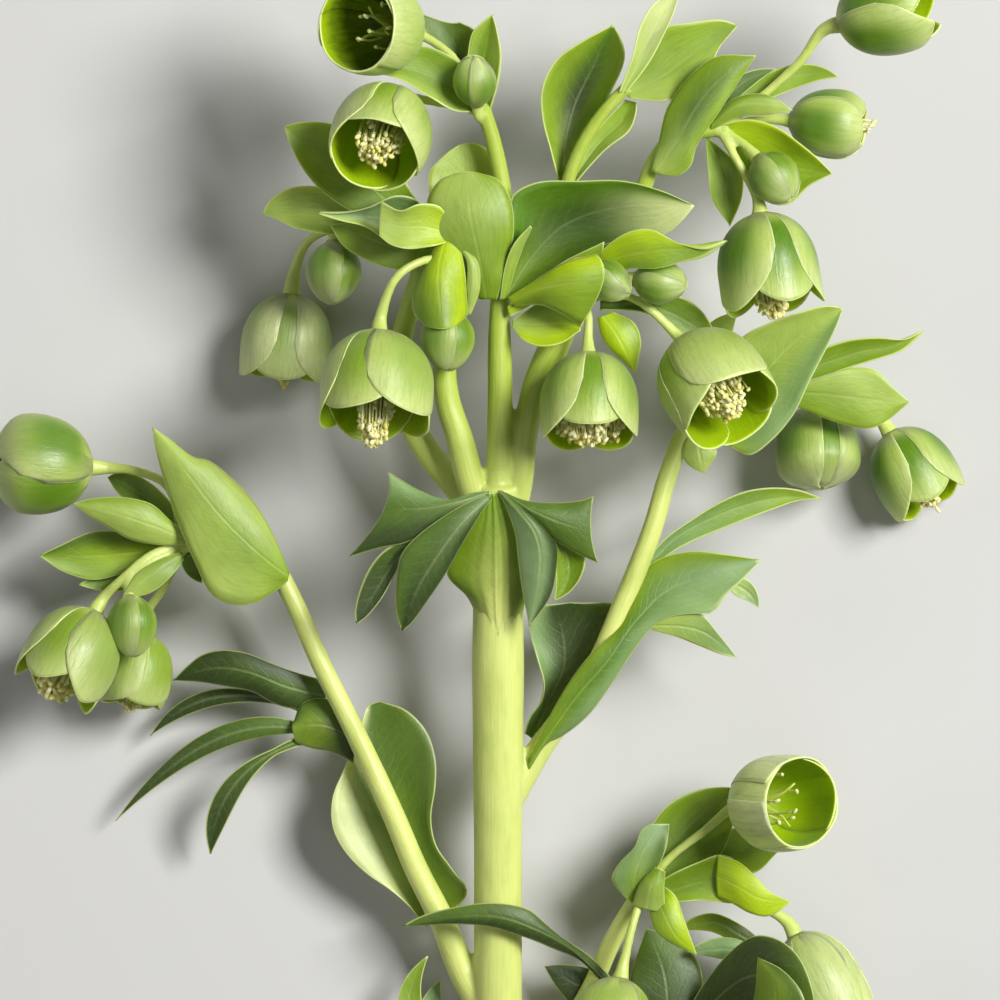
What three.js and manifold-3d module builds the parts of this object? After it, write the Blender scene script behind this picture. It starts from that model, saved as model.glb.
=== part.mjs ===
// A cut flowering stem of hellebore, lying on its back on a flat surface.
// Millimetres. X runs across the stem, Y along it from the cut end to the top bells, and Z up.
// The stem and its stalks are one piece. Every spray of bracts, bell, set of stamens and bud is one more.

import * as THREE from "three";
import { mergeVertices } from "three/addons/utils/BufferGeometryUtils.js";
import Module from "manifold-3d";

const wasm = await Module();
wasm.setup();

// ---------------------------------------------------------------- driving dimensions

const CLEARANCE = 0.3; // gap between two pieces that grow from each other
const BLADE_THICKNESS = 0.7; // bracts and leaves
const BELL_WALL = 0.8; // sepals of a bell
const SEPAL_LIFT = 0.6; // how far the free edge of a sepal stands over the next one
const SEPAL_LEAN = 0.5; // turn of the sepal edges from neck to mouth, in radians
const SEPAL_COUNT = 5;
const BELL_WIDEST = 0.6; // share of a bell's length at which it is widest
const BELL_FLOOR = 0.12; // share of a bell's length that its neck fills
const NECK_RADIUS = 1.5;
const STALK_RADIUS = 0.85;
const THREAD_RADIUS = 0.4; // section that a stem is extruded with before it gets its real thickness
const NECK_APPROACH = 3; // straight end of a stalk, in line with its bell
const STALK_SIDES = 4;
const COLLAR_SIDES = 6;
const CORE_RADIUS = 1.7; // seed pods in the middle of a bell
const ANTHER_RADIUS = 0.9;

const COLOURS = {
  stem: 0xbfd173,
  bract: 0x9dbb4a,
  bractBlue: 0x86a86b,
  leaf: 0x4f7030,
  sepal: 0xb5cc80,
  stamen: 0xe6dfb0,
  bud: 0xb4cf7e,
};

// ---------------------------------------------------------------- where everything grows

// Stems: the middle line, the radius along it and the number of sides.
const STEMS = [
  // main stem, from the cut end to the node under the centre leaf
  { route: [[-0.4, -140, 5.2], [-0.4, -100, 13], [-0.4, -60, 21], [-0.4, -20, 28], [-0.4, 3, 32]],
    radii: [5, 4.9, 4.9, 5.3, 4.6], sides: 10, steps: 4 },
  // its straight continuation, up to the topmost bells
  { route: [[-0.4, -6, 30.5], [0, 20, 36], [0, 38, 38.5], [1, 50, 39], [0.5, 62, 39.5], [-1.5, 72, 41.5],
    [-3.4, 78, 43]], radii: [3, 2.6, 2.5, 1.9, 1.8, 1.6], sides: 6, steps: 7 },
  // front left stem, to the hooded bud
  { route: [[-3, -6, 30.5], [-6, 4, 33], [-8, 12, 35], [-10.5, 20, 36], [-11, 28, 37], [-8.5, 38, 39],
    [-7.3, 52, 41.2]], radii: [3, 2.9, 2.5, 2, 1.7], sides: 6, steps: 6 },
  // right stem, to the large bract
  { route: [[2, -6, 30.5], [4.4, 4, 33], [5, 12, 34], [7, 22, 35], [11, 31, 36.5], [15.5, 40, 38]],
    radii: [2.4, 2.3, 2.6, 3.1, 2.4], sides: 6, steps: 5 },
  // back left stem, to the upper left bells
  { route: [[-3, -5, 28.5], [-9, 3, 27], [-14, 9, 26], [-19, 18, 26], [-20, 30, 27], [-17, 42, 31],
    [-14, 52, 34]], radii: [2.8, 2.8, 2.4, 2.1, 1.8], sides: 6, steps: 7 },
  // upper middle stem
  { route: [[15, 39, 37.5], [12.8, 52, 37], [13.2, 62, 38], [17, 72, 40], [22, 79, 41.5], [25.5, 82.5, 42]],
    radii: [1.6, 1.4, 1.3], sides: 6, steps: 5 },
  // upper right stem
  { route: [[15.5, 39.5, 37.5], [23, 52, 37], [28.5, 62, 38.5], [31, 68, 40], [35, 72.5, 42],
    [44.5, 74, 43]], radii: [1.9, 1.7, 1.5], sides: 6, steps: 6 },
  // right-hand flowering branch
  { route: [[-0.4, -64, 19.5], [8, -50, 20.5], [18, -36, 24], [25, -20, 26], [30.5, -6, 27], [34, 6, 27],
    [38, 15, 26.5], [45, 20, 26], [55, 22, 25]], radii: [3.2, 2.4, 2.2, 2.1, 1.9, 1.6], sides: 6, steps: 9 },
  // left-hand flowering branch
  { route: [[-0.4, -106, 11.5], [-7, -96, 12], [-12, -84, 14.5], [-17, -74, 16], [-21.6, -63, 17.5],
    [-29, -47, 19], [-36.4, -32, 20.5], [-41.6, -20, 22], [-47, -11, 22], [-54, -7, 21], [-63.5, -9, 21]],
    radii: [3.4, 2.6, 2.3, 2.1, 2, 1.7], sides: 6, steps: 11 },
  // lower right flowering branch
  { route: [[0, -124, 8], [10, -112, 10], [18, -99, 12.5], [23, -88, 16], [29.5, -77.5, 20]],
    radii: [2.6, 2, 1.9], sides: 6, steps: 4 },
  // stalk of the lower right leaf
  { route: [[0, -134, 6.5], [14, -125, 8], [26, -115, 9], [34, -108, 10]],
    radii: [2.4, 2, 1.8], sides: 6, steps: 3 },
];

// Bells: the neck, the way the mouth faces, the width, the length, how far the mouth closes, the turn of
// the first sepal, the number of stamens, how far they reach, and the stalk between stem and neck.
const FLOWERS = [
  { neck: [-16, 96, 42], axis: [-0.55, -0.05, 0.83], across: 19, long: 18, close: 0.12, turn: 0.3,
    stamens: 5, reach: 0.9, stalk: [[-3.4, 78, 43], [-9.5, 88.5, 40.5]] },
  { neck: [-22, 79, 41], axis: [-0.2, -0.57, 0.8], across: 20.5, long: 18, close: 0.15, turn: 1.1,
    stamens: 8, reach: 0.95, stalk: [[-3.4, 77.5, 42.5], [-13, 79.5, 39.5]] },
  { neck: [-41, 41.4, 9.1], axis: [-0.1, -0.99, 0.05], across: 18.5, long: 18, close: 0.12, turn: 0.2,
    stamens: 8, reach: 1.05, stalk: [[-14, 52, 34], [-28, 55, 28], [-38, 52.5, 20]] },
  { neck: [-24, 33.4, 47], axis: [-0.05, -0.94, 0.33], across: 22.5, long: 21.5, close: 0.12, turn: 0.9,
    stamens: 8, reach: 1.1, stalk: [[-7.5, 46.5, 40.5], [-14, 48, 46], [-20.5, 44.5, 48.5]] },
  { neck: [17.6, 30, 46], axis: [0.02, -0.96, 0.25], across: 19.5, long: 20.5, close: 0.1, turn: 0.4,
    stamens: 8, reach: 0.98, stalk: [[15.5, 40, 38], [17.6, 37.2, 44]] },
  { neck: [35.6, 32.4, 44], axis: [0.45, -0.63, 0.62], across: 21.5, long: 21, close: 0.15, turn: 0.1,
    stamens: 8, reach: 0.95, stalk: [[15.5, 40, 38], [26, 40.5, 43]] },
  { neck: [69, 93.2, 47], axis: [0.94, 0.27, 0.2], across: 17.4, long: 20, close: 0.3, turn: 0.7,
    stamens: 7, reach: 0.85, stalk: [[44, 74, 43], [54, 82, 44], [60, 87.6, 45]] },
  { neck: [57.6, 75, 40], axis: [0.97, -0.08, 0.1], across: 13.6, long: 15.6, close: 0.42, turn: 0,
    stamens: 5, reach: 1.15, stalk: [[44, 74, 43], [50, 75.8, 40]] },
  { neck: [51.6, 57.6, 45.5], axis: [0.15, -0.98, 0.1], across: 20, long: 20, close: 0.1, turn: 1,
    stamens: 7, reach: 1.06, stalk: [[44, 74, 43], [46.5, 69, 45]] },
  { neck: [63, 18, 11.5], axis: [0.1, -0.9, 0.3], across: 17, long: 16.5, close: 0.7, turn: 0.5,
    stamens: 0, reach: 0, stalk: [[54, 22, 25], [61, 23, 17]] },
  { neck: [78.6, 13.6, 7.52], axis: [0.5, -0.83, 0.12], across: 17, long: 19, close: 0.16, turn: 0.2,
    stamens: 8, reach: 1.05, stalk: [[54, 22, 25], [66, 21.5, 20], [74, 19.5, 12]] },
  { neck: [-82, 6.6, 18], axis: [-1, 0.05, 0.1], across: 20, long: 20, close: 0.6, turn: 0.8,
    stamens: 0, reach: 0, stalk: [[-63.5, -9, 21], [-67, 3, 20.5], [-74, 6, 19]] },
  { neck: [-80.6, -22.4, 23], axis: [-0.35, -0.9, 0.2], across: 19, long: 20, close: 0.12, turn: 0.45,
    stamens: 7, reach: 1, stalk: [[-63.5, -9, 21], [-70, -11, 24.5], [-76, -16, 25]] },
  { neck: [-71, -28, 12], axis: [-0.15, -0.97, 0.1], across: 14.5, long: 16, close: 0.14, turn: 1.2,
    stamens: 7, reach: 1.08, stalk: [[-63.5, -9, 21], [-68, -18, 14]] },
  { neck: [48, -61.5, 24], axis: [0.6, 0.05, 0.8], across: 19, long: 18, close: 0.12, turn: 0.6,
    stamens: 6, reach: 0.9, stalk: [[29.5, -77.5, 20], [34, -72, 21.5], [41, -66.5, 22]] },
  { neck: [58.6, -87.4, 22], axis: [0.35, -0.93, 0.1], across: 18, long: 20, close: 0.12, turn: 0.3,
    stamens: 7, reach: 1, stalk: [[29.5, -77.5, 20], [42, -79, 20], [52, -81.5, 21.5]] },
  { neck: [25, -96, 24.3], axis: [-0.2, -0.97, 0.15], across: 17.5, long: 19, close: 0.12, turn: 0.9,
    stamens: 7, reach: 1, stalk: [[29.5, -77.5, 20], [27, -84, 23.5]] },
];

// Buds: the neck, the way they point, the width, the length and the stalk.
const BUDS = [
  { neck: [-4.6, 79.2, 45], axis: [-0.45, 0.8, 0.4], across: 8.5, long: 10, stalk: [[-3.4, 77.5, 42.5]] },
  { neck: [-33, 52, 28.5], axis: [-0.05, -0.98, 0.1], across: 11, long: 13,
    stalk: [[-14, 52, 34], [-25, 55, 32]] },
  { neck: [-8.6, 39, 46], axis: [0.1, -0.98, 0.12], across: 7.5, long: 12, stalk: [[-7.5, 50, 41]] },
  { neck: [17, 43.5, 48.5], axis: [0.8, -0.4, 0.35], across: 9, long: 12, stalk: [[15.5, 40, 38]] },
  { neck: [27.5, 44.5, 47.5], axis: [0.95, -0.18, 0.2], across: 9, long: 11,
    stalk: [[15.5, 40, 38], [22, 43, 44]] },
  { neck: [50, 68, 47], axis: [0.6, -0.7, 0.3], across: 10, long: 12, stalk: [[44, 74, 43]] },
  { neck: [-72, -18.5, 25.5], axis: [0.1, -0.98, 0.05], across: 10, long: 12,
    stalk: [[-63.5, -9, 21], [-69, -12, 25]] },
];

// Sprays of bracts and leaves. A blade has its foot, the middle of its midrib, its tip and its width.
// curl bends its edges up (or down, below zero), face is the way its upper side looks, peak is where along
// its length it is widest, and rows is the number of steps along it. A collar is the part that clasps the
// stem: its two ends and its radius.
const UP = [0, 0, 1];
const SPRAYS = [
  { name: "leaf_centre", colour: "leaf",
    collars: [{ from: [-0.4, -13, 29.4], to: [-0.4, -3, 31.2], radius: 7.5 }],
    blades: [
      { base: [-0.4, -21, 33.4], mid: [-0.5, -12, 37.4], tip: [-1, 3, 41], wide: 17, curl: -1, rows: 4,
        columns: 4 },
      { base: [-4.5, -3.5, 38.2], mid: [-15, -1.5, 42], tip: [-30.6, -11.4, 40], wide: 8.5, curl: -0.4 },
      { base: [-3.5, -0.5, 39.4], mid: [-14, 1.8, 41.5], tip: [-21.6, 5.2, 41], wide: 6.5, curl: -0.3,
        peak: 0.6 },
      { base: [-5.5, -6.5, 37.4], mid: [-22, -12.5, 40.5], tip: [-28.4, -24.6, 37], wide: 6, curl: 0.4,
        peak: 0.6, rows: 4 },
      { base: [-3, -8.5, 38.2], mid: [-13.4, -12.5, 43], tip: [-19.4, -25.8, 40], wide: 8, curl: 0.4,
        peak: 0.6 },
      { base: [1.8, -9, 38.3], mid: [7.5, -13, 42], tip: [6, -25, 38], wide: 6.5, curl: -0.5 },
      { base: [2.2, -1.4, 38.8], mid: [10, -1.5, 41], tip: [18.8, 0.2, 40], wide: 8, curl: -0.3,
        peak: 0.6 },
      { base: [3.2, -4, 38.2], mid: [12, -6, 40.5], tip: [19.6, -12.4, 38], wide: 8.5, curl: -0.3 },
      { base: [3.8, -7.5, 37.3], mid: [12.5, -11, 37.5], tip: [11, -20, 34.5], wide: 7, curl: -0.4,
        peak: 0.6 },
    ] },
  { name: "bract_round", colour: "bract", collars: [],
    blades: [{ base: [-1.4, 36, 42], mid: [-4, 53, 48.6], tip: [-6, 65.5, 46], wide: 17.5, curl: -0.6,
      peak: 0.58, blunt: 0.55, rows: 5, columns: 4 }] },
  { name: "bract_large", colour: "bractBlue", collars: [],
    blades: [{ base: [1, 37, 42], mid: [13, 54, 43], tip: [38.4, 59, 47], wide: 20, curl: 0.35,
      peak: 0.42, rows: 6, columns: 4 }] },
  { name: "leaf_left", colour: "bract",
    collars: [{ from: [-40, -23, 21.6], to: [-45, -14, 22.2], radius: 3.3 }],
    blades: [{ base: [-42, -19, 24.5], mid: [-57, -5.5, 28], tip: [-69.6, 15, 30], wide: 17, curl: -0.5,
      peak: 0.35, blunt: 0.7, rows: 6, columns: 4 }] },
  { name: "leaf_right", colour: "bractBlue",
    collars: [{ from: [38, 14.5, 26.6], to: [47, 20.4, 26], radius: 3.2 }],
    blades: [
      { base: [45, 15, 27.5], mid: [58, 26, 32], tip: [68.4, 38.4, 35], wide: 12.5, curl: 0.3, peak: 0.4,
        rows: 5, columns: 4 },
      { base: [45, 21, 28], mid: [55, 32.5, 30.5], tip: [64, 38, 31], wide: 9, curl: 0.2 },
      { base: [43, 20, 28], mid: [42.5, 30, 28], tip: [47.4, 37.4, 28], wide: 6, curl: 0.2, peak: 0.6 },
      { base: [39.5, 15, 28], mid: [40, 9.5, 29.5], tip: [41, 5.5, 28.5], wide: 7, curl: -0.4 },
    ] },
  { name: "leaf_sheath_right", colour: "leaf",
    collars: [{ from: [4.5, -55, 20.2], to: [11.5, -45.5, 21.8], radius: 4.1 }],
    blades: [
      { base: [6, -51, 23.5], mid: [27, -30, 28.5], tip: [52, -12, 27], wide: 13.5, curl: 0.3, peak: 0.55,
        rows: 6, columns: 4 },
      { base: [43, -18, 28.2], mid: [49, -18, 27], tip: [52.4, -21.4, 26], wide: 4.5, curl: 0.2,
        peak: 0.4 },
      { base: [30, -26.5, 28.6], mid: [38, -27, 27.5], tip: [47.4, -31, 25], wide: 7, curl: -0.3,
        peak: 0.4 },
      { base: [8.5, -47, 17.8], mid: [11, -33, 18], tip: [12, -21, 19], wide: 13, curl: 0.4, peak: 0.65,
        blunt: 0.6, columns: 4 },
      { base: [31, -25, 28.7], mid: [46, -1.5, 27], tip: [64.4, 0, 25], wide: 5, curl: -0.4, rows: 5 },
    ] },
  { name: "leaf_sheath_left", colour: "leaf",
    collars: [{ from: [-9.5, -90, 13.2], to: [-13.5, -81, 14.9], radius: 3.9 }],
    blades: [
      { base: [-12.5, -84, 11.3], mid: [-23, -62, 12.5], tip: [-27.5, -40, 13.5], wide: 20.5, curl: 0.45,
        blunt: 0.7, rows: 6, columns: 4 },
      { base: [-26, -48, 13.2], mid: [-34, -46.5, 13.2], tip: [-42, -45, 13.5], wide: 10, curl: 0.4 },
      { base: [-34, -44, 13.5], mid: [-51, -33.5, 16], tip: [-66, -37, 12], wide: 7, curl: -0.4, rows: 5 },
      { base: [-35, -45, 13.3], mid: [-56, -40, 11], tip: [-70.4, -47.4, 7], wide: 4, curl: -0.3, rows: 4 },
      { base: [-36, -46.5, 13], mid: [-57, -49, 13], tip: [-77.6, -64.8, 6.5], wide: 5.2, curl: -0.4,
        peak: 0.4, rows: 5 },
      { base: [-36, -47, 13.5], mid: [-52.4, -57, 14], tip: [-58.2, -71.4, 9], wide: 5, curl: 0.4,
        peak: 0.6, rows: 5 },
    ] },
  { name: "leaf_upper_middle", colour: "leaf",
    collars: [{ from: [12.9, 58, 37.5], to: [13.6, 65, 38.4], radius: 2.5 }],
    blades: [
      { base: [12, 62, 36], mid: [14.5, 79, 36.5], tip: [22.4, 94.4, 40], wide: 15, curl: 0.5,
        blunt: 0.7, rows: 5, columns: 4 },
      { base: [14, 62, 36], mid: [21.5, 72, 36.5], tip: [27, 80, 38], wide: 8, curl: 0.3, peak: 0.6 },
    ] },
  { name: "bracts_top", colour: "bract",
    collars: [{ from: [-2.4, 74.6, 42], to: [-4, 78.6, 43.3], radius: 2.9 }],
    blades: [
      { base: [-5, 77, 43.5], mid: [-15, 83, 46.5], tip: [-25.5, 86, 47], wide: 9.5, curl: 0.3,
        face: [0, 0.5, 1], peak: 0.4 },
      { base: [-4.5, 78.5, 41], mid: [-9, 88, 37.5], tip: [-14, 98, 35], wide: 10.5, curl: 0.3, peak: 0.6 },
      { base: [-2.5, 77.5, 41.5], mid: [-0.8, 87, 43], tip: [-1.6, 97, 44], wide: 8.5, curl: 0.8,
        face: [-0.4, 0, 1] },
    ] },
  { name: "bracts_upper_left", colour: "bract",
    collars: [{ from: [-15.6, 46.5, 32.3], to: [-13.6, 53, 34.3], radius: 3.4 }],
    blades: [
      { base: [-13.5, 52, 35], mid: [-30, 66, 37], tip: [-43, 74.6, 38], wide: 13.5, curl: 0.3, rows: 5 },
      { base: [-15, 51, 33], mid: [-37, 56.5, 32], tip: [-47, 57.6, 30], wide: 7.5, curl: 0.3, peak: 0.6,
        rows: 5 },
      { base: [-14, 51, 34.8], mid: [-25, 57, 42], tip: [-36, 57.4, 41], wide: 8.5, curl: 0.4,
        face: [0, 0.6, 1], peak: 0.4 },
      { base: [-13, 50, 35], mid: [-23, 49.5, 36], tip: [-33.5, 53, 35], wide: 10, curl: 0.3 },
      { base: [-12.5, 51, 34], mid: [-7.5, 62, 35.5], tip: [-8, 71, 36], wide: 14.5, curl: 0.3, peak: 0.6,
        blunt: 0.5 },
    ] },
  { name: "bracts_hood", colour: "bract",
    collars: [{ from: [-7.6, 48, 40.8], to: [-7.2, 53, 41.4], radius: 3.4 }],
    blades: [
      { base: [-7.3, 51, 41.5], mid: [-15.5, 55, 44.5], tip: [-24, 54, 47.5], wide: 9, curl: 0.5,
        peak: 0.6, blunt: 0.5 },
      { base: [-6.5, 50.5, 43.2], mid: [-14, 39.5, 46.5], tip: [-13.5, 26, 40], wide: 10.5, curl: -0.7,
        peak: 0.4, rows: 5 },
    ] },
  { name: "bracts_middle_right", colour: "bract",
    collars: [{ from: [12, 33, 36.9], to: [15.5, 40, 38.3], radius: 5 }],
    blades: [
      { base: [15, 39, 40.5], mid: [29, 50.5, 50.5], tip: [44.5, 50.5, 53], wide: 12, curl: 0.5, rows: 5 },
      { base: [13.5, 36.5, 39.5], mid: [13, 46, 48.5], tip: [20, 52, 50], wide: 11, curl: 0.5, peak: 0.55 },
      { base: [12, 35, 38.5], mid: [7.5, 34.8, 45.5], tip: [16, 33, 46.5], wide: 9, curl: -0.4 },
      { base: [15, 38.5, 39], mid: [26, 33, 40.5], tip: [26.5, 25.5, 38], wide: 8.5, curl: -0.3,
        peak: 0.55 },
      { base: [15, 39.5, 39], mid: [36, 37, 40.5], tip: [43, 31, 38], wide: 7, curl: -0.3, peak: 0.55,
        rows: 4 },
    ] },
  { name: "bracts_upper_middle", colour: "bract",
    collars: [{ from: [22, 79.2, 41.5], to: [25, 82.2, 42], radius: 2.4 }],
    blades: [
      { base: [24, 81, 43.5], mid: [28.5, 91, 44], tip: [36, 102.5, 45], wide: 7.5, curl: 0.5 },
      { base: [24, 80.5, 41], mid: [35, 88, 42], tip: [47.2, 95.6, 42], wide: 11.5, curl: 0.3, peak: 0.6 },
    ] },
  { name: "bracts_upper_right", colour: "bract",
    collars: [{ from: [37, 73, 42.3], to: [43.4, 73.9, 42.9], radius: 3.2 }],
    blades: [
      { base: [34, 66, 43.2], mid: [38, 78, 46], tip: [50.8, 88.4, 46], wide: 11, curl: -0.3,
        rows: 5, columns: 4 },
      { base: [41.5, 73.8, 42], mid: [57, 84, 40.5], tip: [67, 84.4, 41.5], wide: 5.5, curl: 0.3,
        peak: 0.4 },
      { base: [41.5, 74, 43.4], mid: [51, 80.5, 46.5], tip: [58.5, 77, 46], wide: 5, curl: 0.3 },
      { base: [42, 73.5, 43.8], mid: [56, 73.2, 47.5], tip: [66, 65, 46], wide: 10, curl: -0.5 },
      { base: [41, 73.5, 42], mid: [44.5, 63, 38.5], tip: [47, 54.5, 37], wide: 8.5, curl: -0.3 },
    ] },
  { name: "bracts_right", colour: "bract",
    collars: [{ from: [48.8, 21, 25.7], to: [53.6, 21.9, 25.1], radius: 3.2 }],
    blades: [
      { base: [52, 23, 27.8], mid: [73, 30.5, 28], tip: [84.4, 33.5, 29], wide: 7.5, curl: -0.3, rows: 5 },
      { base: [52, 20.5, 27.8], mid: [70, 22, 27], tip: [81.6, 19.8, 25], wide: 10, curl: -0.3, peak: 0.6,
        rows: 4 },
    ] },
  { name: "bracts_left", colour: "bract",
    collars: [{ from: [-58.2, -8, 20.9], to: [-63, -8.9, 21], radius: 3.3 }],
    blades: [
      { base: [-61, -8.4, 22], mid: [-75, -3.8, 27], tip: [-86, -0.5, 28], wide: 8, curl: -0.3 },
      { base: [-60, -8.6, 19.4], mid: [-78, -10.5, 19], tip: [-92.5, -11, 21], wide: 9, curl: 0.3,
        rows: 4 },
      { base: [-60.5, -9, 19.4], mid: [-73, -15, 17.5], tip: [-82.5, -17, 19], wide: 5.5, curl: 0.2 },
      { base: [-61, -8.4, 19.8], mid: [-72, 1, 17.5], tip: [-79, 4.5, 15], wide: 6, curl: 0.3 },
      { base: [-61, -9, 19.6], mid: [-61.5, -13, 18.5], tip: [-60, -16.6, 19], wide: 5, curl: 0.3,
        peak: 0.4 },
    ] },
  { name: "bracts_lower_right", colour: "bract",
    collars: [{ from: [25.4, -83.8, 17.6], to: [29, -78.2, 19.7], radius: 3.1 }],
    blades: [
      { base: [27.5, -80.5, 19.8], mid: [27, -72.5, 26], tip: [30.4, -64.4, 25], wide: 10.5, curl: -0.3,
        blunt: 0.6 },
      { base: [27.5, -80, 18], mid: [39, -67, 17], tip: [46, -58, 18], wide: 14, curl: 0.4, rows: 4 },
      { base: [27.5, -80.5, 18], mid: [46, -71.5, 17], tip: [56.4, -70.2, 19], wide: 9, curl: 0.3,
        peak: 0.6, rows: 4 },
      { base: [28, -79.5, 20.5], mid: [39, -76.4, 25], tip: [46, -76, 25], wide: 8, curl: 0.3, peak: 0.6 },
      { base: [43, -76, 24.5], mid: [50, -77.6, 27], tip: [58, -81, 25], wide: 9.5, curl: 0.5, peak: 0.4 },
      { base: [28.5, -79.5, 20.5], mid: [34.4, -85.5, 23.5], tip: [38, -91.4, 21], wide: 6.5, curl: -0.4 },
    ] },
  { name: "leaf_lower_right", colour: "leaf",
    collars: [{ from: [27, -114.4, 9.1], to: [33.4, -108.6, 9.9], radius: 2.8 }],
    blades: [
      { base: [30.5, -107.5, 11], mid: [3, -86.5, 23.8], tip: [-20, -85.4, 20.5], wide: 6.5, curl: -0.4,
        rows: 8 },
      { base: [31, -109, 11.5], mid: [20, -100.5, 11], tip: [9, -94, 11.5], wide: 9.5, curl: -0.3 },
      { base: [33, -108, 11.5], mid: [33.5, -97, 12], tip: [29.5, -86.5, 11.5], wide: 15, curl: -0.3,
        rows: 5 },
      { base: [34, -108, 11.5], mid: [45, -95.5, 14.5], tip: [38.5, -85, 13], wide: 7.5, curl: -0.3,
        rows: 5 },
      { base: [35, -109, 11.5], mid: [55, -97, 10], tip: [49, -86.5, 8.5], wide: 8.5, curl: -0.3, rows: 5 },
      { base: [35, -110, 11.5], mid: [53, -109, 11], tip: [68, -116, 6], wide: 9.5, curl: -0.3, rows: 5 },
      { base: [34, -111, 11], mid: [43, -122, 9.5], tip: [49, -135, 4], wide: 9.5, curl: -0.3, rows: 5 },
    ] },
  { name: "leaf_shoot", colour: "leaf",
    collars: [{ from: [-0.4, -121, 8.8], to: [-0.4, -115, 10], radius: 6.2 }],
    blades: [
      { base: [-5.6, -118, 11.5], mid: [-17.5, -105, 10.5], tip: [-14.6, -92, 12.5], wide: 5.5, curl: 0.4 },
      { base: [-5.8, -119, 8], mid: [-13.5, -108, 6.5], tip: [-12, -97, 5.5], wide: 6.5, curl: 0.3 },
    ] },
];

// ---------------------------------------------------------------- geometry tools

const vector = (point) => new THREE.Vector3(...point);

// A closed geometry, its shared points merged, as a solid with its faces pointing out.
function toSolid(geometry) {
  const bare = new THREE.BufferGeometry();
  bare.setAttribute("position", geometry.getAttribute("position"));
  bare.setIndex(geometry.getIndex());
  const merged = mergeVertices(bare, 1e-4);
  const vertProperties = new Float32Array(merged.getAttribute("position").array);
  const corners = merged.getIndex().array;
  const kept = [];
  for (let start = 0; start < corners.length; start += 3) {
    const [a, b, c] = corners.slice(start, start + 3);
    if (a !== b && b !== c && c !== a) kept.push(a, b, c);
  }
  const triVerts = new Uint32Array(kept);
  const solid = new wasm.Manifold(new wasm.Mesh({ numProp: 3, vertProperties, triVerts }));
  if (solid.volume() > 0) return solid;
  triVerts.reverse();
  return new wasm.Manifold(new wasm.Mesh({ numProp: 3, vertProperties, triVerts }));
}

// Value of an evenly spaced list of numbers at the share `share` of its length.
function alongList(values, share) {
  const place = share * (values.length - 1);
  const index = Math.min(Math.floor(place), values.length - 2);
  return THREE.MathUtils.lerp(values[index], values[index + 1], place - index);
}

// A round stem along a smooth curve, its radius changing along it.
function stemSolid({ route, radii, sides, steps }, grow) {
  const curve = new THREE.CatmullRomCurve3(route.map(vector), false, "centripetal");
  const section = new THREE.Shape();
  for (let side = 0; side < sides; side++) {
    const angle = (side / sides) * 2 * Math.PI;
    const corner = [THREAD_RADIUS * Math.cos(angle), THREAD_RADIUS * Math.sin(angle)];
    if (side === 0) section.moveTo(...corner);
    else section.lineTo(...corner);
  }
  const geometry = new THREE.ExtrudeGeometry(section, { steps, extrudePath: curve, bevelEnabled: false });
  const centres = curve.getSpacedPoints(steps);
  const place = geometry.getAttribute("position");
  const point = new THREE.Vector3();
  for (let index = 0; index < place.count; index++) {
    point.fromBufferAttribute(place, index);
    const distances = centres.map((centre) => centre.distanceTo(point));
    const step = distances.indexOf(Math.min(...distances));
    const radius = alongList(radii, step / steps) + grow;
    point.sub(centres[step]).multiplyScalar(radius / THREAD_RADIUS).add(centres[step]);
    place.setXYZ(index, point.x, point.y, point.z);
  }
  return toSolid(geometry);
}

// The stalk of a bell or bud: it leaves the stem and ends in line with the neck, just short of it.
function stalkOf({ neck, axis, stalk }) {
  const end = vector(neck);
  const direction = vector(axis).normalize();
  const approach = end.clone().addScaledVector(direction, -NECK_APPROACH);
  const last = end.clone().addScaledVector(direction, -CLEARANCE);
  const route = [...stalk, approach.toArray(), last.toArray()];
  const radii = [1.2 * STALK_RADIUS, STALK_RADIUS, STALK_RADIUS, 1.3 * STALK_RADIUS];
  return { route, radii, sides: STALK_SIDES, steps: stalk.length + 1 };
}

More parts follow.
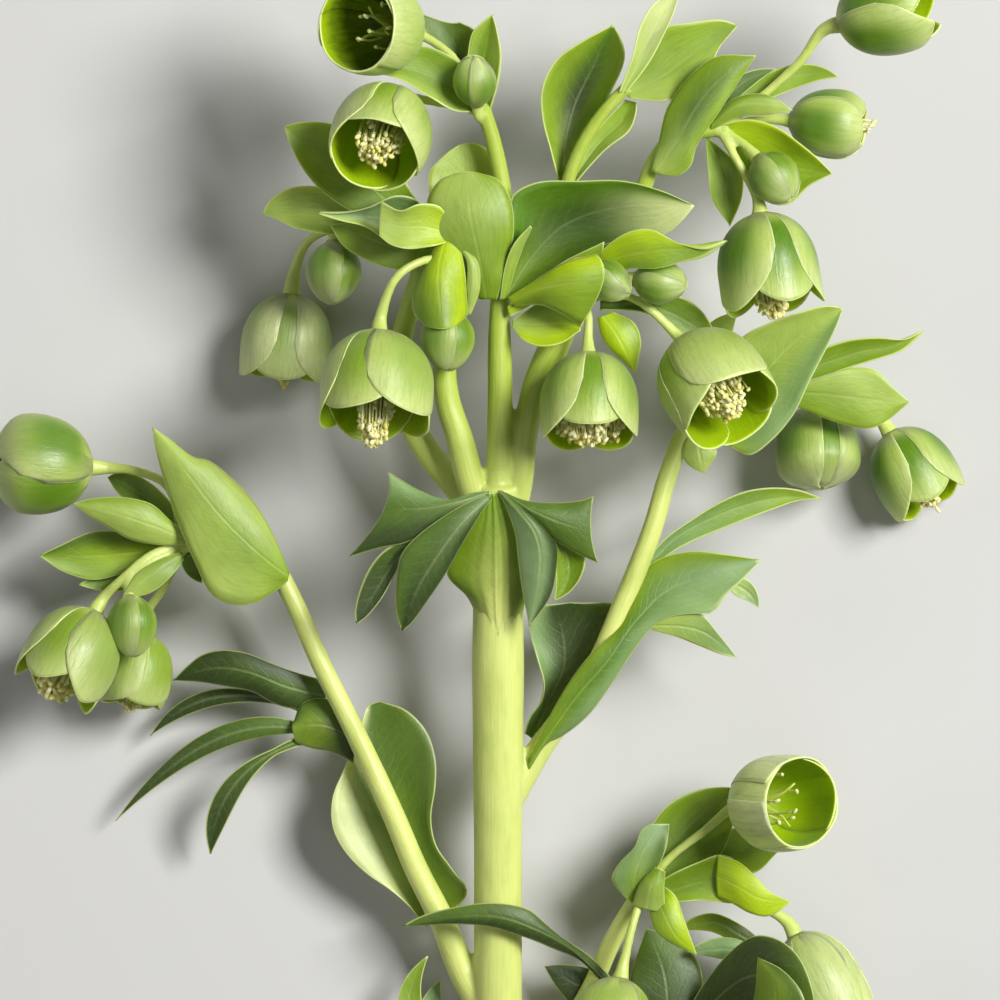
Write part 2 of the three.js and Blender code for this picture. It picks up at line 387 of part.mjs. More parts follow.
// A thin blade along a midrib, with its outline, its curl and the same triangles on both faces.
function bladeSolid(blade, grow) {
  const { wide, curl, face = UP, peak = 0.5, blunt = 0.85, rows = 3, columns = 2 } = blade;
  const base = vector(blade.base);
  const tip = vector(blade.tip);
  const bow = vector(blade.mid).multiplyScalar(2).addScaledVector(base, -0.5).addScaledVector(tip, -0.5);
  const midrib = new THREE.QuadraticBezierCurve3(base, bow, tip);
  const power = Math.log(0.5) / Math.log(peak);
  const faceDirection = vector(face);
  const thin = columns === 2; // a small blade is a lens: thick along its rib, sharp at its edge
  const thickness = (thin ? BLADE_THICKNESS : BLADE_THICKNESS / 2) + grow;
  const points = [];
  for (const level of [1, -1]) {
    for (let row = 0; row <= rows; row++) {
      const t = row / rows;
      const tangent = midrib.getTangent(t);
      const side = new THREE.Vector3().crossVectors(tangent, faceDirection).normalize();
      const normal = new THREE.Vector3().crossVectors(side, tangent);
      const outline = Math.sin(Math.PI * t ** power) ** blunt;
      const half = Math.max(0.5 * wide * outline, 0.22 * wide * (1 - t) ** 2, 0.4) + grow;
      for (let column = 0; column <= columns; column++) {
        const across = (2 * column) / columns - 1;
        const angle = across * curl;
        const sharp = thin && (row === rows || column !== 1);
        const rise = (half * (1 - Math.cos(angle))) / curl;
        const point = midrib.getPoint(t);
        point.addScaledVector(tangent, row === 0 ? -grow : row === rows ? grow : 0);
        point.addScaledVector(side, (half * Math.sin(angle)) / curl);
        point.addScaledVector(normal, rise + (sharp ? 0 : level * thickness));
        points.push(point.x, point.y, point.z);
      }
    }
  }
  const width = columns + 1;
  const lower = width * (rows + 1);
  const triangles = [];
  const quad = (a, b, c, d) => triangles.push(a, b, c, a, c, d);
  for (let row = 0; row < rows; row++) {
    for (let column = 0; column < columns; column++) {
      const corner = row * width + column;
      quad(corner, corner + 1, corner + width + 1, corner + width);
      triangles.push(lower + corner, lower + corner + width + 1, lower + corner + 1);
      triangles.push(lower + corner, lower + corner + width, lower + corner + width + 1);
    }
    const left = row * width;
    const right = left + columns;
    quad(left, left + width, lower + left + width, lower + left);
    quad(right, lower + right, lower + right + width, right + width);
  }
  for (let column = 0; column < columns; column++) {
    const top = rows * width + column;
    quad(column, lower + column, lower + column + 1, column + 1);
    quad(top, top + 1, lower + top + 1, lower + top);
  }
  const geometry = new THREE.BufferGeometry();
  geometry.setAttribute("position", new THREE.Float32BufferAttribute(points, 3));
  geometry.setIndex(triangles);
  return toSolid(geometry);
}

// Turns a shape that was made along +Y round to its neck and axis.
function plant(geometry, { neck, axis, turn = 0 }) {
  const along = new THREE.Vector3(0, 1, 0);
  const spin = new THREE.Quaternion().setFromAxisAngle(along, turn);
  const tilt = new THREE.Quaternion().setFromUnitVectors(along, vector(axis).normalize());
  geometry.applyQuaternion(tilt.multiply(spin));
  geometry.translate(...neck);
  return geometry;
}

// Outer radius of a bell, as a share of its half width, from the neck (0) to the mouth (1).
function bellRadius(t, close) {
  if (t < BELL_WIDEST) return (1 - ((BELL_WIDEST - t) / BELL_WIDEST) ** 2) ** 0.75;
  return 1 - close * ((t - BELL_WIDEST) / (1 - BELL_WIDEST)) ** 2;
}

// A bell of overlapping sepals: a turned cup whose wall steps at each sepal edge and whose rim is scalloped.
// Grown, it is the filled outer form that keeps leaves clear of it.
function bellSolid(bell, grow) {
  const { across, long, close } = bell;
  const segmentsPerSepal = 3;
  const segments = SEPAL_COUNT * segmentsPerSepal;
  const filled = grow > 0;
  const outer = [0, 0.13, 0.34, 0.64, 1].map((t) => ({ t, inset: 0 }));
  const inner = filled ? [] : [1, 0.4].map((t) => ({ t, inset: BELL_WALL }));
  const rings = [...outer, ...inner];
  const outerRadius = (t) => Math.max((across / 2) * bellRadius(t, close), NECK_RADIUS);
  const radiusOf = ({ t, inset }) => outerRadius(t) - inset + grow;
  const top = filled ? long : BELL_FLOOR * long;
  const wall = rings.map((ring) => new THREE.Vector2(radiusOf(ring), ring.t * long));
  const profile = [new THREE.Vector2(0, 0), ...wall, new THREE.Vector2(0, top)];
  const geometry = new THREE.LatheGeometry(profile, segments);
  const place = geometry.getAttribute("position");
  for (let index = 0; index < place.count; index++) {
    const ring = rings[(index % profile.length) - 1];
    if (!ring) continue;
    const segment = Math.floor(index / profile.length) % segments;
    const share = (segment % segmentsPerSepal) / segmentsPerSepal;
    const angle = (segment / segments) * 2 * Math.PI + SEPAL_LEAN * ring.t;
    const lift = SEPAL_LIFT * (share - 0.5) * Math.min(1, 3 * ring.t);
    const radius = radiusOf(ring) + lift;
    const scallop = ring.t === 1 ? 1 - 0.1 * (1 - Math.sin(Math.PI * share)) : 1;
    const height = ring.t * long * scallop + (filled && ring.t === 1 ? grow : 0);
    place.setXYZ(index, radius * Math.sin(angle), height, radius * Math.cos(angle));
  }
  return toSolid(plant(geometry, bell));
}

// A closed bud: an egg with a blunt tip and the edges of its sepals raised.
function budSolid(bud, grow) {
  const segmentsPerSepal = 2;
  const segments = SEPAL_COUNT * segmentsPerSepal;
  const shares = [0.1, 0.38, 0.72, 0.95];
  const radiusAt = (t) => (bud.across / 2) * Math.sin(Math.PI * t ** 0.85) ** 0.65 + grow;
  const side = shares.map((t) => new THREE.Vector2(radiusAt(t), t * bud.long));
  const profile = [new THREE.Vector2(0, -grow), ...side, new THREE.Vector2(0, bud.long + grow)];
  const geometry = new THREE.LatheGeometry(profile, segments);
  const place = geometry.getAttribute("position");
  for (let index = 0; index < place.count; index++) {
    const share = shares[(index % profile.length) - 1];
    if (share === undefined) continue;
    const segment = Math.floor(index / profile.length) % segments;
    const angle = (segment / segments) * 2 * Math.PI + SEPAL_LEAN * share;
    const radius = radiusAt(share) + (segment % segmentsPerSepal ? 0.3 : -0.3);
    place.setXYZ(index, radius * Math.sin(angle), share * bud.long, radius * Math.cos(angle));
  }
  return toSolid(plant(geometry, bud));
}

// Seed pods and stamens: a small cone that the stamens splay out of, each a club with its anther at the end.
function stamenSolid(bell) {
  const { across, long, close, stamens, reach } = bell;
  const room = (across / 2) * (1 - close) - BELL_WALL - ANTHER_RADIUS - CLEARANCE;
  const widestLean = Math.atan(room / (reach * long));
  const foot = (BELL_FLOOR + 0.05) * long + 2 * CLEARANCE;
  const coreLength = 0.4 * long;
  const core = new THREE.CylinderGeometry(0.5, CORE_RADIUS, coreLength, 6);
  core.translate(0, foot + coreLength / 2, 0);
  const solids = [toSolid(plant(core, bell))];
  for (let index = 0; index < stamens; index++) {
    const length = (reach - BELL_FLOOR) * long * (0.9 + 0.1 * Math.sin(2.3 * index));
    const lean = widestLean * (0.35 + 0.65 * Math.sqrt((index + 0.5) / stamens));
    const club = new THREE.ConeGeometry(ANTHER_RADIUS, length, 3);
    club.rotateX(Math.PI);
    club.translate(0, length / 2, 0);
    club.rotateX(lean);
    club.rotateY(index * 2.4);
    club.translate(0, foot + 0.6, 0);
    solids.push(toSolid(plant(club, bell)));
  }
  return wasm.Manifold.union(solids);
}

function spraySolid({ blades, collars }, grow) {
  const solids = blades.map((blade) => bladeSolid(blade, grow));
  for (const { from, to, radius } of collars) {
    const middle = vector(from).add(vector(to)).multiplyScalar(0.5).toArray();
    const collar = { route: [from, middle, to], radii: [radius, radius], sides: COLLAR_SIDES, steps: 1 };
    solids.push(stemSolid(collar, grow));
  }
  return wasm.Manifold.union(solids);
}

// ---------------------------------------------------------------- the pieces, in order of growth

const flower = new THREE.Group();
const placed = []; // each placed piece, grown by the clearance that the next ones keep to it

function overlap(a, b) {
  const first = a.boundingBox();
  const second = b.boundingBox();
  return [0, 1, 2].every((k) => first.min[k] < second.max[k] && second.min[k] < first.max[k]);
}

// Cuts a solid clear of everything placed so far and keeps its one main body.
function trimmed(solid) {
  let result = solid;
  for (const keep of placed) {
    if (overlap(result, keep)) result = result.subtract(keep);
  }
  const bodies = result.decompose();
  bodies.sort((a, b) => b.volume() - a.volume());
  return bodies[0];
}

function addPiece(name, solid, clear, colour) {
  const mesh = trimmed(solid).getMesh();
  const geometry = new THREE.BufferGeometry();
  geometry.setAttribute("position", new THREE.Float32BufferAttribute(mesh.vertProperties, 3));
  geometry.setIndex(new THREE.Uint32BufferAttribute(mesh.triVerts, 1));
  const material = new THREE.MeshStandardMaterial({ color: COLOURS[colour], roughness: 0.5, metalness: 0 });
  const piece = new THREE.Mesh(geometry, material);
  piece.name = name;
  flower.add(piece);
  if (clear) placed.push(clear);
}

const number = (index) => String(index + 1).padStart(2, "0");

const stems = [...STEMS, ...FLOWERS.map(stalkOf), ...BUDS.map(stalkOf)];
const stemUnion = (grow) => wasm.Manifold.union(stems.map((stem) => stemSolid(stem, grow)));
addPiece("flowering_stem", stemUnion(0), stemUnion(CLEARANCE), "stem");

FLOWERS.forEach((bell, index) => {
  addPiece(`flower_${number(index)}`, bellSolid(bell, 0), bellSolid(bell, CLEARANCE), "sepal");
});
BUDS.forEach((bud, index) => {
  addPiece(`bud_${number(index)}`, budSolid(bud, 0), budSolid(bud, CLEARANCE), "bud");
});
SPRAYS.forEach((spray) => {
  addPiece(spray.name, spraySolid(spray, 0), spraySolid(spray, CLEARANCE), spray.colour);
});

// The stamens stand inside the bells, clear of their walls.
placed.length = 0;
FLOWERS.forEach((bell, index) => {
  if (bell.stamens) addPiece(`stamens_${number(index)}`, stamenSolid(bell), null, "stamen");
});

// The origin is the middle of the box, on the surface that the stem lies on.
const box = new THREE.Box3().setFromObject(flower);
const middle = box.getCenter(new THREE.Vector3());
flower.position.set(-middle.x, -middle.y, -box.min.z);

export default flower;
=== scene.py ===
"""A cut flowering stem of hellebore, lying down: stalk, bells, stamens, buds, bracts and leaves.

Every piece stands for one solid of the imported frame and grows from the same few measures: the
middle line of each stem, the neck and axis of each bell and bud, and the midrib of each blade.
"""

import math
from random import Random

import bmesh
import bpy
from mathutils import Matrix, Vector
from mathutils.kdtree import KDTree


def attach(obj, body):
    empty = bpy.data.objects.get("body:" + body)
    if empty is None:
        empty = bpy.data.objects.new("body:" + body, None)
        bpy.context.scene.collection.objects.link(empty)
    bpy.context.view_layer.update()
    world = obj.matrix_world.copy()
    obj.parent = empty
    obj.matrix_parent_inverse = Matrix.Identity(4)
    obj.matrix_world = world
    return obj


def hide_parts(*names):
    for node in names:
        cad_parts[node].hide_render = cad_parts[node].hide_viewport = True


bl_info = {
    "name": "Hellebore stem",
    "version": (1, 0, 0),
    "blender": (4, 5, 0),
    "location": "View3D > Sidebar > Hellebore",
    "description": "Builds a cut flowering stem of hellebore over its packed frame",
    "category": "Add Mesh",
}

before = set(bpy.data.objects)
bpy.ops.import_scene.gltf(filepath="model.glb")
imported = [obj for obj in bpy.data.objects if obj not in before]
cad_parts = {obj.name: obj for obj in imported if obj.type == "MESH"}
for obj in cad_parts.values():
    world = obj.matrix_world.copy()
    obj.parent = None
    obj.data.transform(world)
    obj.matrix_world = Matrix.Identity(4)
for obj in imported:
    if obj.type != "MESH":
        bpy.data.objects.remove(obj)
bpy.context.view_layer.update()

# ---------------------------------------------------------------- measures, in millimetres

MM = 0.001
# From the point that the camera looks down on, where the tables count from, to the frame's origin.
TO_FRAME = Matrix.Scale(MM, 4) @ Matrix.Translation((3.848, 17.937, -0.528))

UP = (0, 0, 1)
RAIL_STEPS = 60  # pieces into which a blade's drawn lines are cut
CURVE_STEPS = 12  # points from one given point of a smooth line to the next
POLE_GAP = 0.01  # points of a sheet that lie closer are one

STEM_STEP = 2.0  # distance between two rings of a stem
STEM_SIDES = 20
SKIN_SMOOTHING = 5  # rounds in which the joined skin of the stems is smoothed
CUT_REACH = 6.2  # how far the cut face reaches from the middle of the stem's end
GRAIN_SHIFT = 37  # from the grain of one stem to that of the next, so that no two look alike
SPRIG_START, SPRIG_END = -12, 30  # between these places along +Y the stems turn greener

STALK_RADIUS = 0.92
STALK_SWELLS = (1.5, 1.1, 1, 1, 1.05, 1.1, 1.35)  # along it, the last one before its end
STALK_END = 1.5, 0.6  # swell under a small bell, and what a large one adds to it
LARGE_BELL = 18  # width from which a bell counts as large
NECK_APPROACH = 3  # straight end of a stalk, in line with its bell
NECK_JOIN = 0.7  # how far a stalk runs on into its bell

SEPAL_COUNT = 5
SEPAL_ROWS, SEPAL_COLUMNS = 24, 20
SEPAL_LEAN = 0.12  # turn of the sepals from neck to mouth, in radians
SEPAL_HALF_ANGLE = 1.05  # radians
SEPAL_RUFFLE = 0.2  # swing of a sepal's rim at the mouth
BELL_WIDEST = 0.6  # share of a bell's length at which it is widest
SHOULDER_FULLNESS = 0.45  # 0.5 for a round shoulder, less for a squarer one
NECK_RADIUS = 1.7  # least radius of a bell up to where it is widest
TIP_RADIUS = 0.4  # least radius beyond that, where a closed bell ends
# Which edges of the five sepals lie outside: two have both out, two both in, and one has one each.
EDGE_LAYERS = ((1, 1), (-1, -1), (1, 1), (-1, -1), (1, -1))
BUD_OVERLAP = 0.35  # how far a bud's sepals stand over each other, as a share of a bell's
EGG_HALF_LENGTH, EGG_MIDDLE = 0.47, 0.48  # of the egg in a bud, as shares of the bud's length

BLADE_ROWS, BLADE_COLUMNS = 44, 16
MIDRIB_CROWDING = 1.2  # above 1, the columns of a sheet stand closer near its middle
RIB_WIDTH = 1.6  # distance from its middle at which a midrib has sunk into the blade
BLADE_FOOT = 0.22  # least half width at a simple blade's foot, as a share of its width
BLADE_LEAST = 0.12  # least half width of a simple blade anywhere
PLEAT_DEPTH = 0.25
HEADING_STEP = 0.05  # share of a blade's length over which its heading is taken
BACK_PALENESS = 0.45  # how far the underside of a blade turns pale

FEW_STAMENS = 14  # with fewer than these, the threads are thicker
BARE_SPREAD = 4  # few stamens that stand wider than this have shed their pollen
STAMEN_TURN = 2.4  # radians from one stamen to the next
SEAT_HEIGHT = 0.16  # share of a bell's length at which its stamens start
SEAT_RADII = (1.3, 1.8, 2, 2, 1.5)  # of the knob that they stand on, from the neck up
THREAD_RADIUS, STOUT_RADIUS = 0.17, 0.26
SAC_WIDTH, BARE_WIDTH, SAC_DEPTH = 0.5, 0.44, 0.4  # half sizes of a pollen sac
SAC_TILT = 0.9  # radians
POD_COUNT = 3
POD_RADII = (0.9, 1.3, 0.7, 0.32, 0.24)  # of a pod and its style, from foot to tip

# Stems: the middle line and the radii along it, from the root end.
STEMS = [
    # main stem
    (((-0.4, -140, 5.2), (-0.4, -100, 13), (-0.4, -60, 21), (-0.4, -20, 28), (-0.4, 3, 32)),
     (5, 4.9, 4.9, 5.3, 4.6)),
    # its straight continuation
    (((-0.4, -6, 30.5), (0, 20, 36), (0, 38, 38.5), (1, 50, 39), (0.5, 62, 39.5), (-1.5, 72, 41.5),
      (-3.4, 78, 43)), (3, 2.6, 2.5, 1.9, 1.8, 1.6)),
    # front left stem
    (((-3, -6, 30.5), (-6, 4, 33), (-8, 12, 35), (-10.5, 20, 36), (-11, 28, 37), (-8.5, 38, 39),
      (-7.3, 52, 41.2)), (3, 2.9, 2.5, 2, 1.7)),
    # right stem
    (((2, -6, 30.5), (4.4, 4, 33), (5, 12, 34), (7, 22, 35), (11, 31, 36.5), (15.5, 40, 38)),
     (2.4, 2.3, 2.6, 3.1, 2.4)),
    # back left stem
    (((-3, -5, 28.5), (-9, 3, 27), (-14, 9, 26), (-19, 18, 26), (-20, 30, 27), (-17, 42, 31),
      (-14, 52, 34)), (2.8, 2.8, 2.4, 2.1, 1.8)),
    # upper middle stem
    (((15, 39, 37.5), (12.8, 52, 37), (13.2, 62, 38), (17, 72, 40), (22, 79, 41.5),
      (25.5, 82.5, 42)), (1.6, 1.4, 1.3)),
    # upper right stem
    (((15.5, 39.5, 37.5), (23, 52, 37), (28.5, 62, 38.5), (31, 68, 40), (35, 72.5, 42),
      (44.5, 74, 43)), (1.9, 1.7, 1.5)),
    # right-hand flowering branch
    (((-0.4, -64, 19.5), (8, -50, 20.5), (18, -36, 24), (25, -20, 26), (30.5, -6, 27), (34, 6, 27),
      (38, 15, 26.5), (45, 20, 26), (55, 22, 25)), (3.2, 2.4, 2.2, 2.1, 1.9, 1.6)),
    # left-hand flowering branch
    (((-0.4, -106, 11.5), (-7, -96, 12), (-12, -84, 14.5), (-17, -74, 16), (-21.6, -63, 17.5),
      (-29, -47, 19), (-36.4, -32, 20.5), (-41.6, -20, 22), (-47, -11, 22), (-54, -7, 21),
      (-63.5, -9, 21)), (3.4, 2.6, 2.3, 2.1, 2, 1.7)),
    # lower right flowering branch
    (((0, -124, 8), (10, -112, 10), (18, -99, 12.5), (23, -88, 16), (29.5, -77.5, 20)),
     (2.6, 2, 1.9)),
    # stalk of the lower right leaf
    (((0, -134, 6.5), (14, -125, 8), (26, -115, 9), (34, -108, 10)), (2.4, 2, 1.8)),
]


def bell(neck, axis, across, long, close, turn, reach, stalk, stamens, spread=0, tone="sepal",
         lobes=0.42, point=0, deep=0.3, dim=0.25):
    """One bell: its neck, the way its mouth faces, its size, how far it closes and what is in it.

    turn is how far the sepals are turned round that axis, in radians, from the side that looks up.
    stalk is the way of its stalk up to the neck, reach the length of its stamens as a share of its
    own, and spread how wide they stand. lobes is the share of a sepal's length where its tip
    starts, and point how pointed that tip is. deep is how green the middle of a sepal is, partly
    its own colour and partly painted shade. dim is how far painted shade darkens the inside of
    the bell. close and the last four are from 0 to 1.
    """
    return dict(neck=neck, axis=axis, across=across, long=long, close=close, turn=turn,
                reach=reach, stalk=stalk, stamens=stamens, spread=spread, tone=tone, lobes=lobes,
                point=point, deep=deep, dim=dim)


FLOWERS = [
    bell((-19.5, 94, 41), (-0.5, 0, 0.86), 19, 18, close=0.06, turn=-0.75, reach=0.9, stamens=7,
         spread=5, stalk=((-3.4, 78, 43), (-9.5, 88.5, 40.5)), lobes=0.97, deep=0.1, dim=0.72),
    bell((-21.4, 79, 41), (-0.2, -0.57, 0.8), 20, 18.5, close=0.12, turn=-1.75, reach=1.02,
         stamens=80, spread=4.6, stalk=((-3.4, 77.5, 42.5), (-13, 79.5, 39.5)), lobes=0.66, dim=0),
    # This bell lies low in the shade of the stems and bells above it; its whitish tone is painted
    # light.
    bell((-42, 41.6, 10.4), (-0.1, -0.99, -0.02), 18.2, 17.4, close=0.04, turn=-1.94, reach=1.1,
         stamens=24, spread=2.6, stalk=((-14, 52, 34), (-28, 55, 28), (-38, 52.5, 20)),
         tone="white", point=0.5, lobes=0.56, deep=0.5),
    # Its deeper green middles are partly painted shade.
    bell((-24, 33.4, 47), (-0.05, -0.95, 0.32), 22.6, 19.4, close=0, turn=-1.49, reach=1.25,
         stamens=110, spread=3.4, stalk=((-7.5, 46.5, 40.5), (-14, 48, 46), (-20.5, 44.5, 48.5)),
         point=0.4, deep=0.45),
    # Its deep green middles are partly painted shade from the bell and bracts beside it.
    bell((17.6, 29.2, 46), (0.02, -0.95, 0.3), 19.6, 17.8, close=0.04, turn=-2.02, reach=1.08,
         stamens=120, spread=7, stalk=((15.5, 40, 38), (17.6, 37.2, 44)), lobes=0.45, point=0.3,
         deep=0.7),
    bell((37, 30.6, 44), (0.45, -0.63, 0.62), 21.5, 20.5, close=0.08, turn=2.46, reach=1,
         stamens=90, spread=5.4, stalk=((15.5, 40, 38), (26, 40.5, 43)), lobes=0.6, deep=0.25),
    bell((67.4, 94.6, 47), (0.94, 0.25, 0.2), 17.4, 19.6, close=0.3, turn=0.11, reach=0.85,
         stamens=20, spread=3, stalk=((44, 74, 43), (54, 82, 44), (60, 87.6, 45)), lobes=0.5,
         point=1, deep=1),
    bell((57.8, 75.8, 40), (0.97, -0.08, 0.1), 13.6, 15.2, close=0.45, turn=-0.53, reach=1.2,
         stamens=9, spread=2.2, stalk=((44, 74, 43), (50, 75.8, 40)), lobes=0.78, deep=1),
    bell((51.8, 57.2, 45.5), (0.15, -0.98, 0.1), 20, 19.4, close=0, turn=-2.33, reach=1.1,
         stamens=84, spread=3.6, stalk=((44, 74, 43), (46.5, 69, 45)), point=0.8, deep=1),
    bell((63, 18.8, 11.5), (0.1, -0.9, 0.3), 17, 17.5, close=0.95, turn=-2.3, reach=0, stamens=0,
         stalk=((54, 22, 25), (61, 23, 17)), tone="shaded_sepal", lobes=0.88, deep=0.9),
    bell((78.6, 13.6, 8.2), (0.5, -0.83, 0.12), 17, 17, close=0.12, turn=-2.12, reach=1.1,
         stamens=24, spread=2.4, stalk=((54, 22, 25), (66, 21.5, 20), (74, 19.5, 12)), point=0.7,
         lobes=0.5, deep=1),
    bell((-82, 6.6, 18), (-1, 0.05, 0.1), 20, 20, close=0.62, turn=-0.02, reach=0, stamens=0,
         stalk=((-63.5, -9, 21), (-67, 3, 20.5), (-74, 6, 19)), tone="shaded_sepal", lobes=0.5,
         deep=0.9),
    bell((-81.2, -22.4, 23), (-0.46, -0.86, 0.2), 19, 18.8, close=0.08, turn=-1.5, reach=1.08,
         stamens=70, spread=4.4, stalk=((-63.5, -9, 21), (-70, -11, 24.5), (-76, -16, 25)),
         tone="shaded_sepal", point=1, deep=0.3),
    bell((-72.2, -26.4, 12), (-0.15, -0.97, 0.1), 14.8, 15.2, close=0.14, turn=0.03, reach=1.1,
         stamens=26, spread=2.6, stalk=((-63.5, -9, 21), (-68, -18, 14)), tone="shaded_sepal",
         point=0.3, lobes=0.7, deep=0.15),
    # Its outside lies in shadow; its very pale tone is painted light.
    bell((49.4, -61, 24), (0.6, 0.03, 0.8), 19.4, 18, close=0.06, turn=1.49, reach=0.95, stamens=6,
         spread=6, stalk=((29.5, -77.5, 20), (34, -72, 21.5), (41, -66.5, 22)), tone="edge",
         lobes=0.97, deep=0.1, dim=0.2),
    bell((59.2, -87.4, 22), (0.46, -0.88, 0.1), 17, 20, close=0.12, turn=0.7, reach=1, stamens=30,
         spread=3.4, stalk=((29.5, -77.5, 20), (42, -79, 20), (52, -81.5, 21.5)), tone="white",
         deep=0.1),
    bell((24.2, -96, 24.3), (-0.2, -0.97, 0.15), 17.5, 19, close=0.12, turn=-0.37, reach=1,
         stamens=30, spread=3.4, stalk=((29.5, -77.5, 20), (27, -84, 23.5))),
]


def bud(neck, axis, across, long, stalk):
    """One closed bud: its neck, the way it points, its size and its stalk."""
    return dict(neck=neck, axis=axis, across=across, long=long, stalk=stalk)


BUDS = [
    bud((-4.6, 78.6, 45), (-0.08, 0.88, 0.42), 8.6, 11, stalk=((-3.4, 77.5, 42.5),)),
    bud((-33, 52, 28.5), (-0.05, -0.98, 0.1), 11, 13, stalk=((-14, 52, 34), (-25, 55, 32))),
    bud((-10.6, 38.2, 44), (0.02, -0.99, 0.1), 10.8, 12.6, stalk=((-7.5, 50, 41),)),
    bud((17.8, 46.4, 46.8), (0.8, -0.55, 0.25), 8, 10, stalk=((15.5, 40, 38), (12.6, 43, 42.6))),
    bud((26.6, 44, 45.5), (0.95, -0.1, 0.2), 9, 11, stalk=((15.5, 40, 38), (22, 42, 41.6))),
    bud((51.2, 68.2, 46), (0.6, -0.7, 0.3), 10.2, 11.4, stalk=((44, 74, 43),)),
    bud((-74, -19, 25.5), (0.02, -0.99, 0.05), 10, 12.6, stalk=((-63.5, -9, 21), (-70, -13, 25))),
]


def blade(base, mid, tip, wide, curl, tones, peak=0.5, blunt=0.85, wave=0.03):
    """One simple blade: foot, middle and tip of its midrib, its width, its bend across, its tones.

    peak is where along its length it is widest, blunt how full its outline is, and wave the swing
    of its margins as a share of its width.
    """
    return dict(base=base, mid=mid, tip=tip, wide=wide, curl=curl, tones=tones, peak=peak,
                blunt=blunt, wave=wave)


def sheet(left, middle, right, tones, wave=0.02, pleats=0):
    """One freely shaped blade: lines from foot to tip, along one edge, the midrib and the other.

    Its tones are those of the foot and the tip, and where they differ those of the two edges and
    of the middle of its length. Its upper side looks up, whichever edge comes first.
    """
    ahead = Vector(middle[-1]) - Vector(middle[0])
    beside = Vector(right[len(right) // 2]) - Vector(left[len(left) // 2])
    foot, end, one, other, half = (*tones, None, None, None)[:5]
    if beside.cross(ahead).z < 0:
        left, right, one, other = right, left, other, one
    wide = max((Vector(right[-2]) - Vector(left[-2])).length, beside.length)
    return dict(left=left, middle=middle, right=right, wide=wide,
                tones=(foot, end, one, other, half), wave=wave, pleats=pleats)


def pointed(left, middle, right, tones, **more):
    """A sheet whose two edges end where its midrib ends."""
    return sheet([*left, middle[-1]], middle, [*right, middle[-1]], tones, **more)


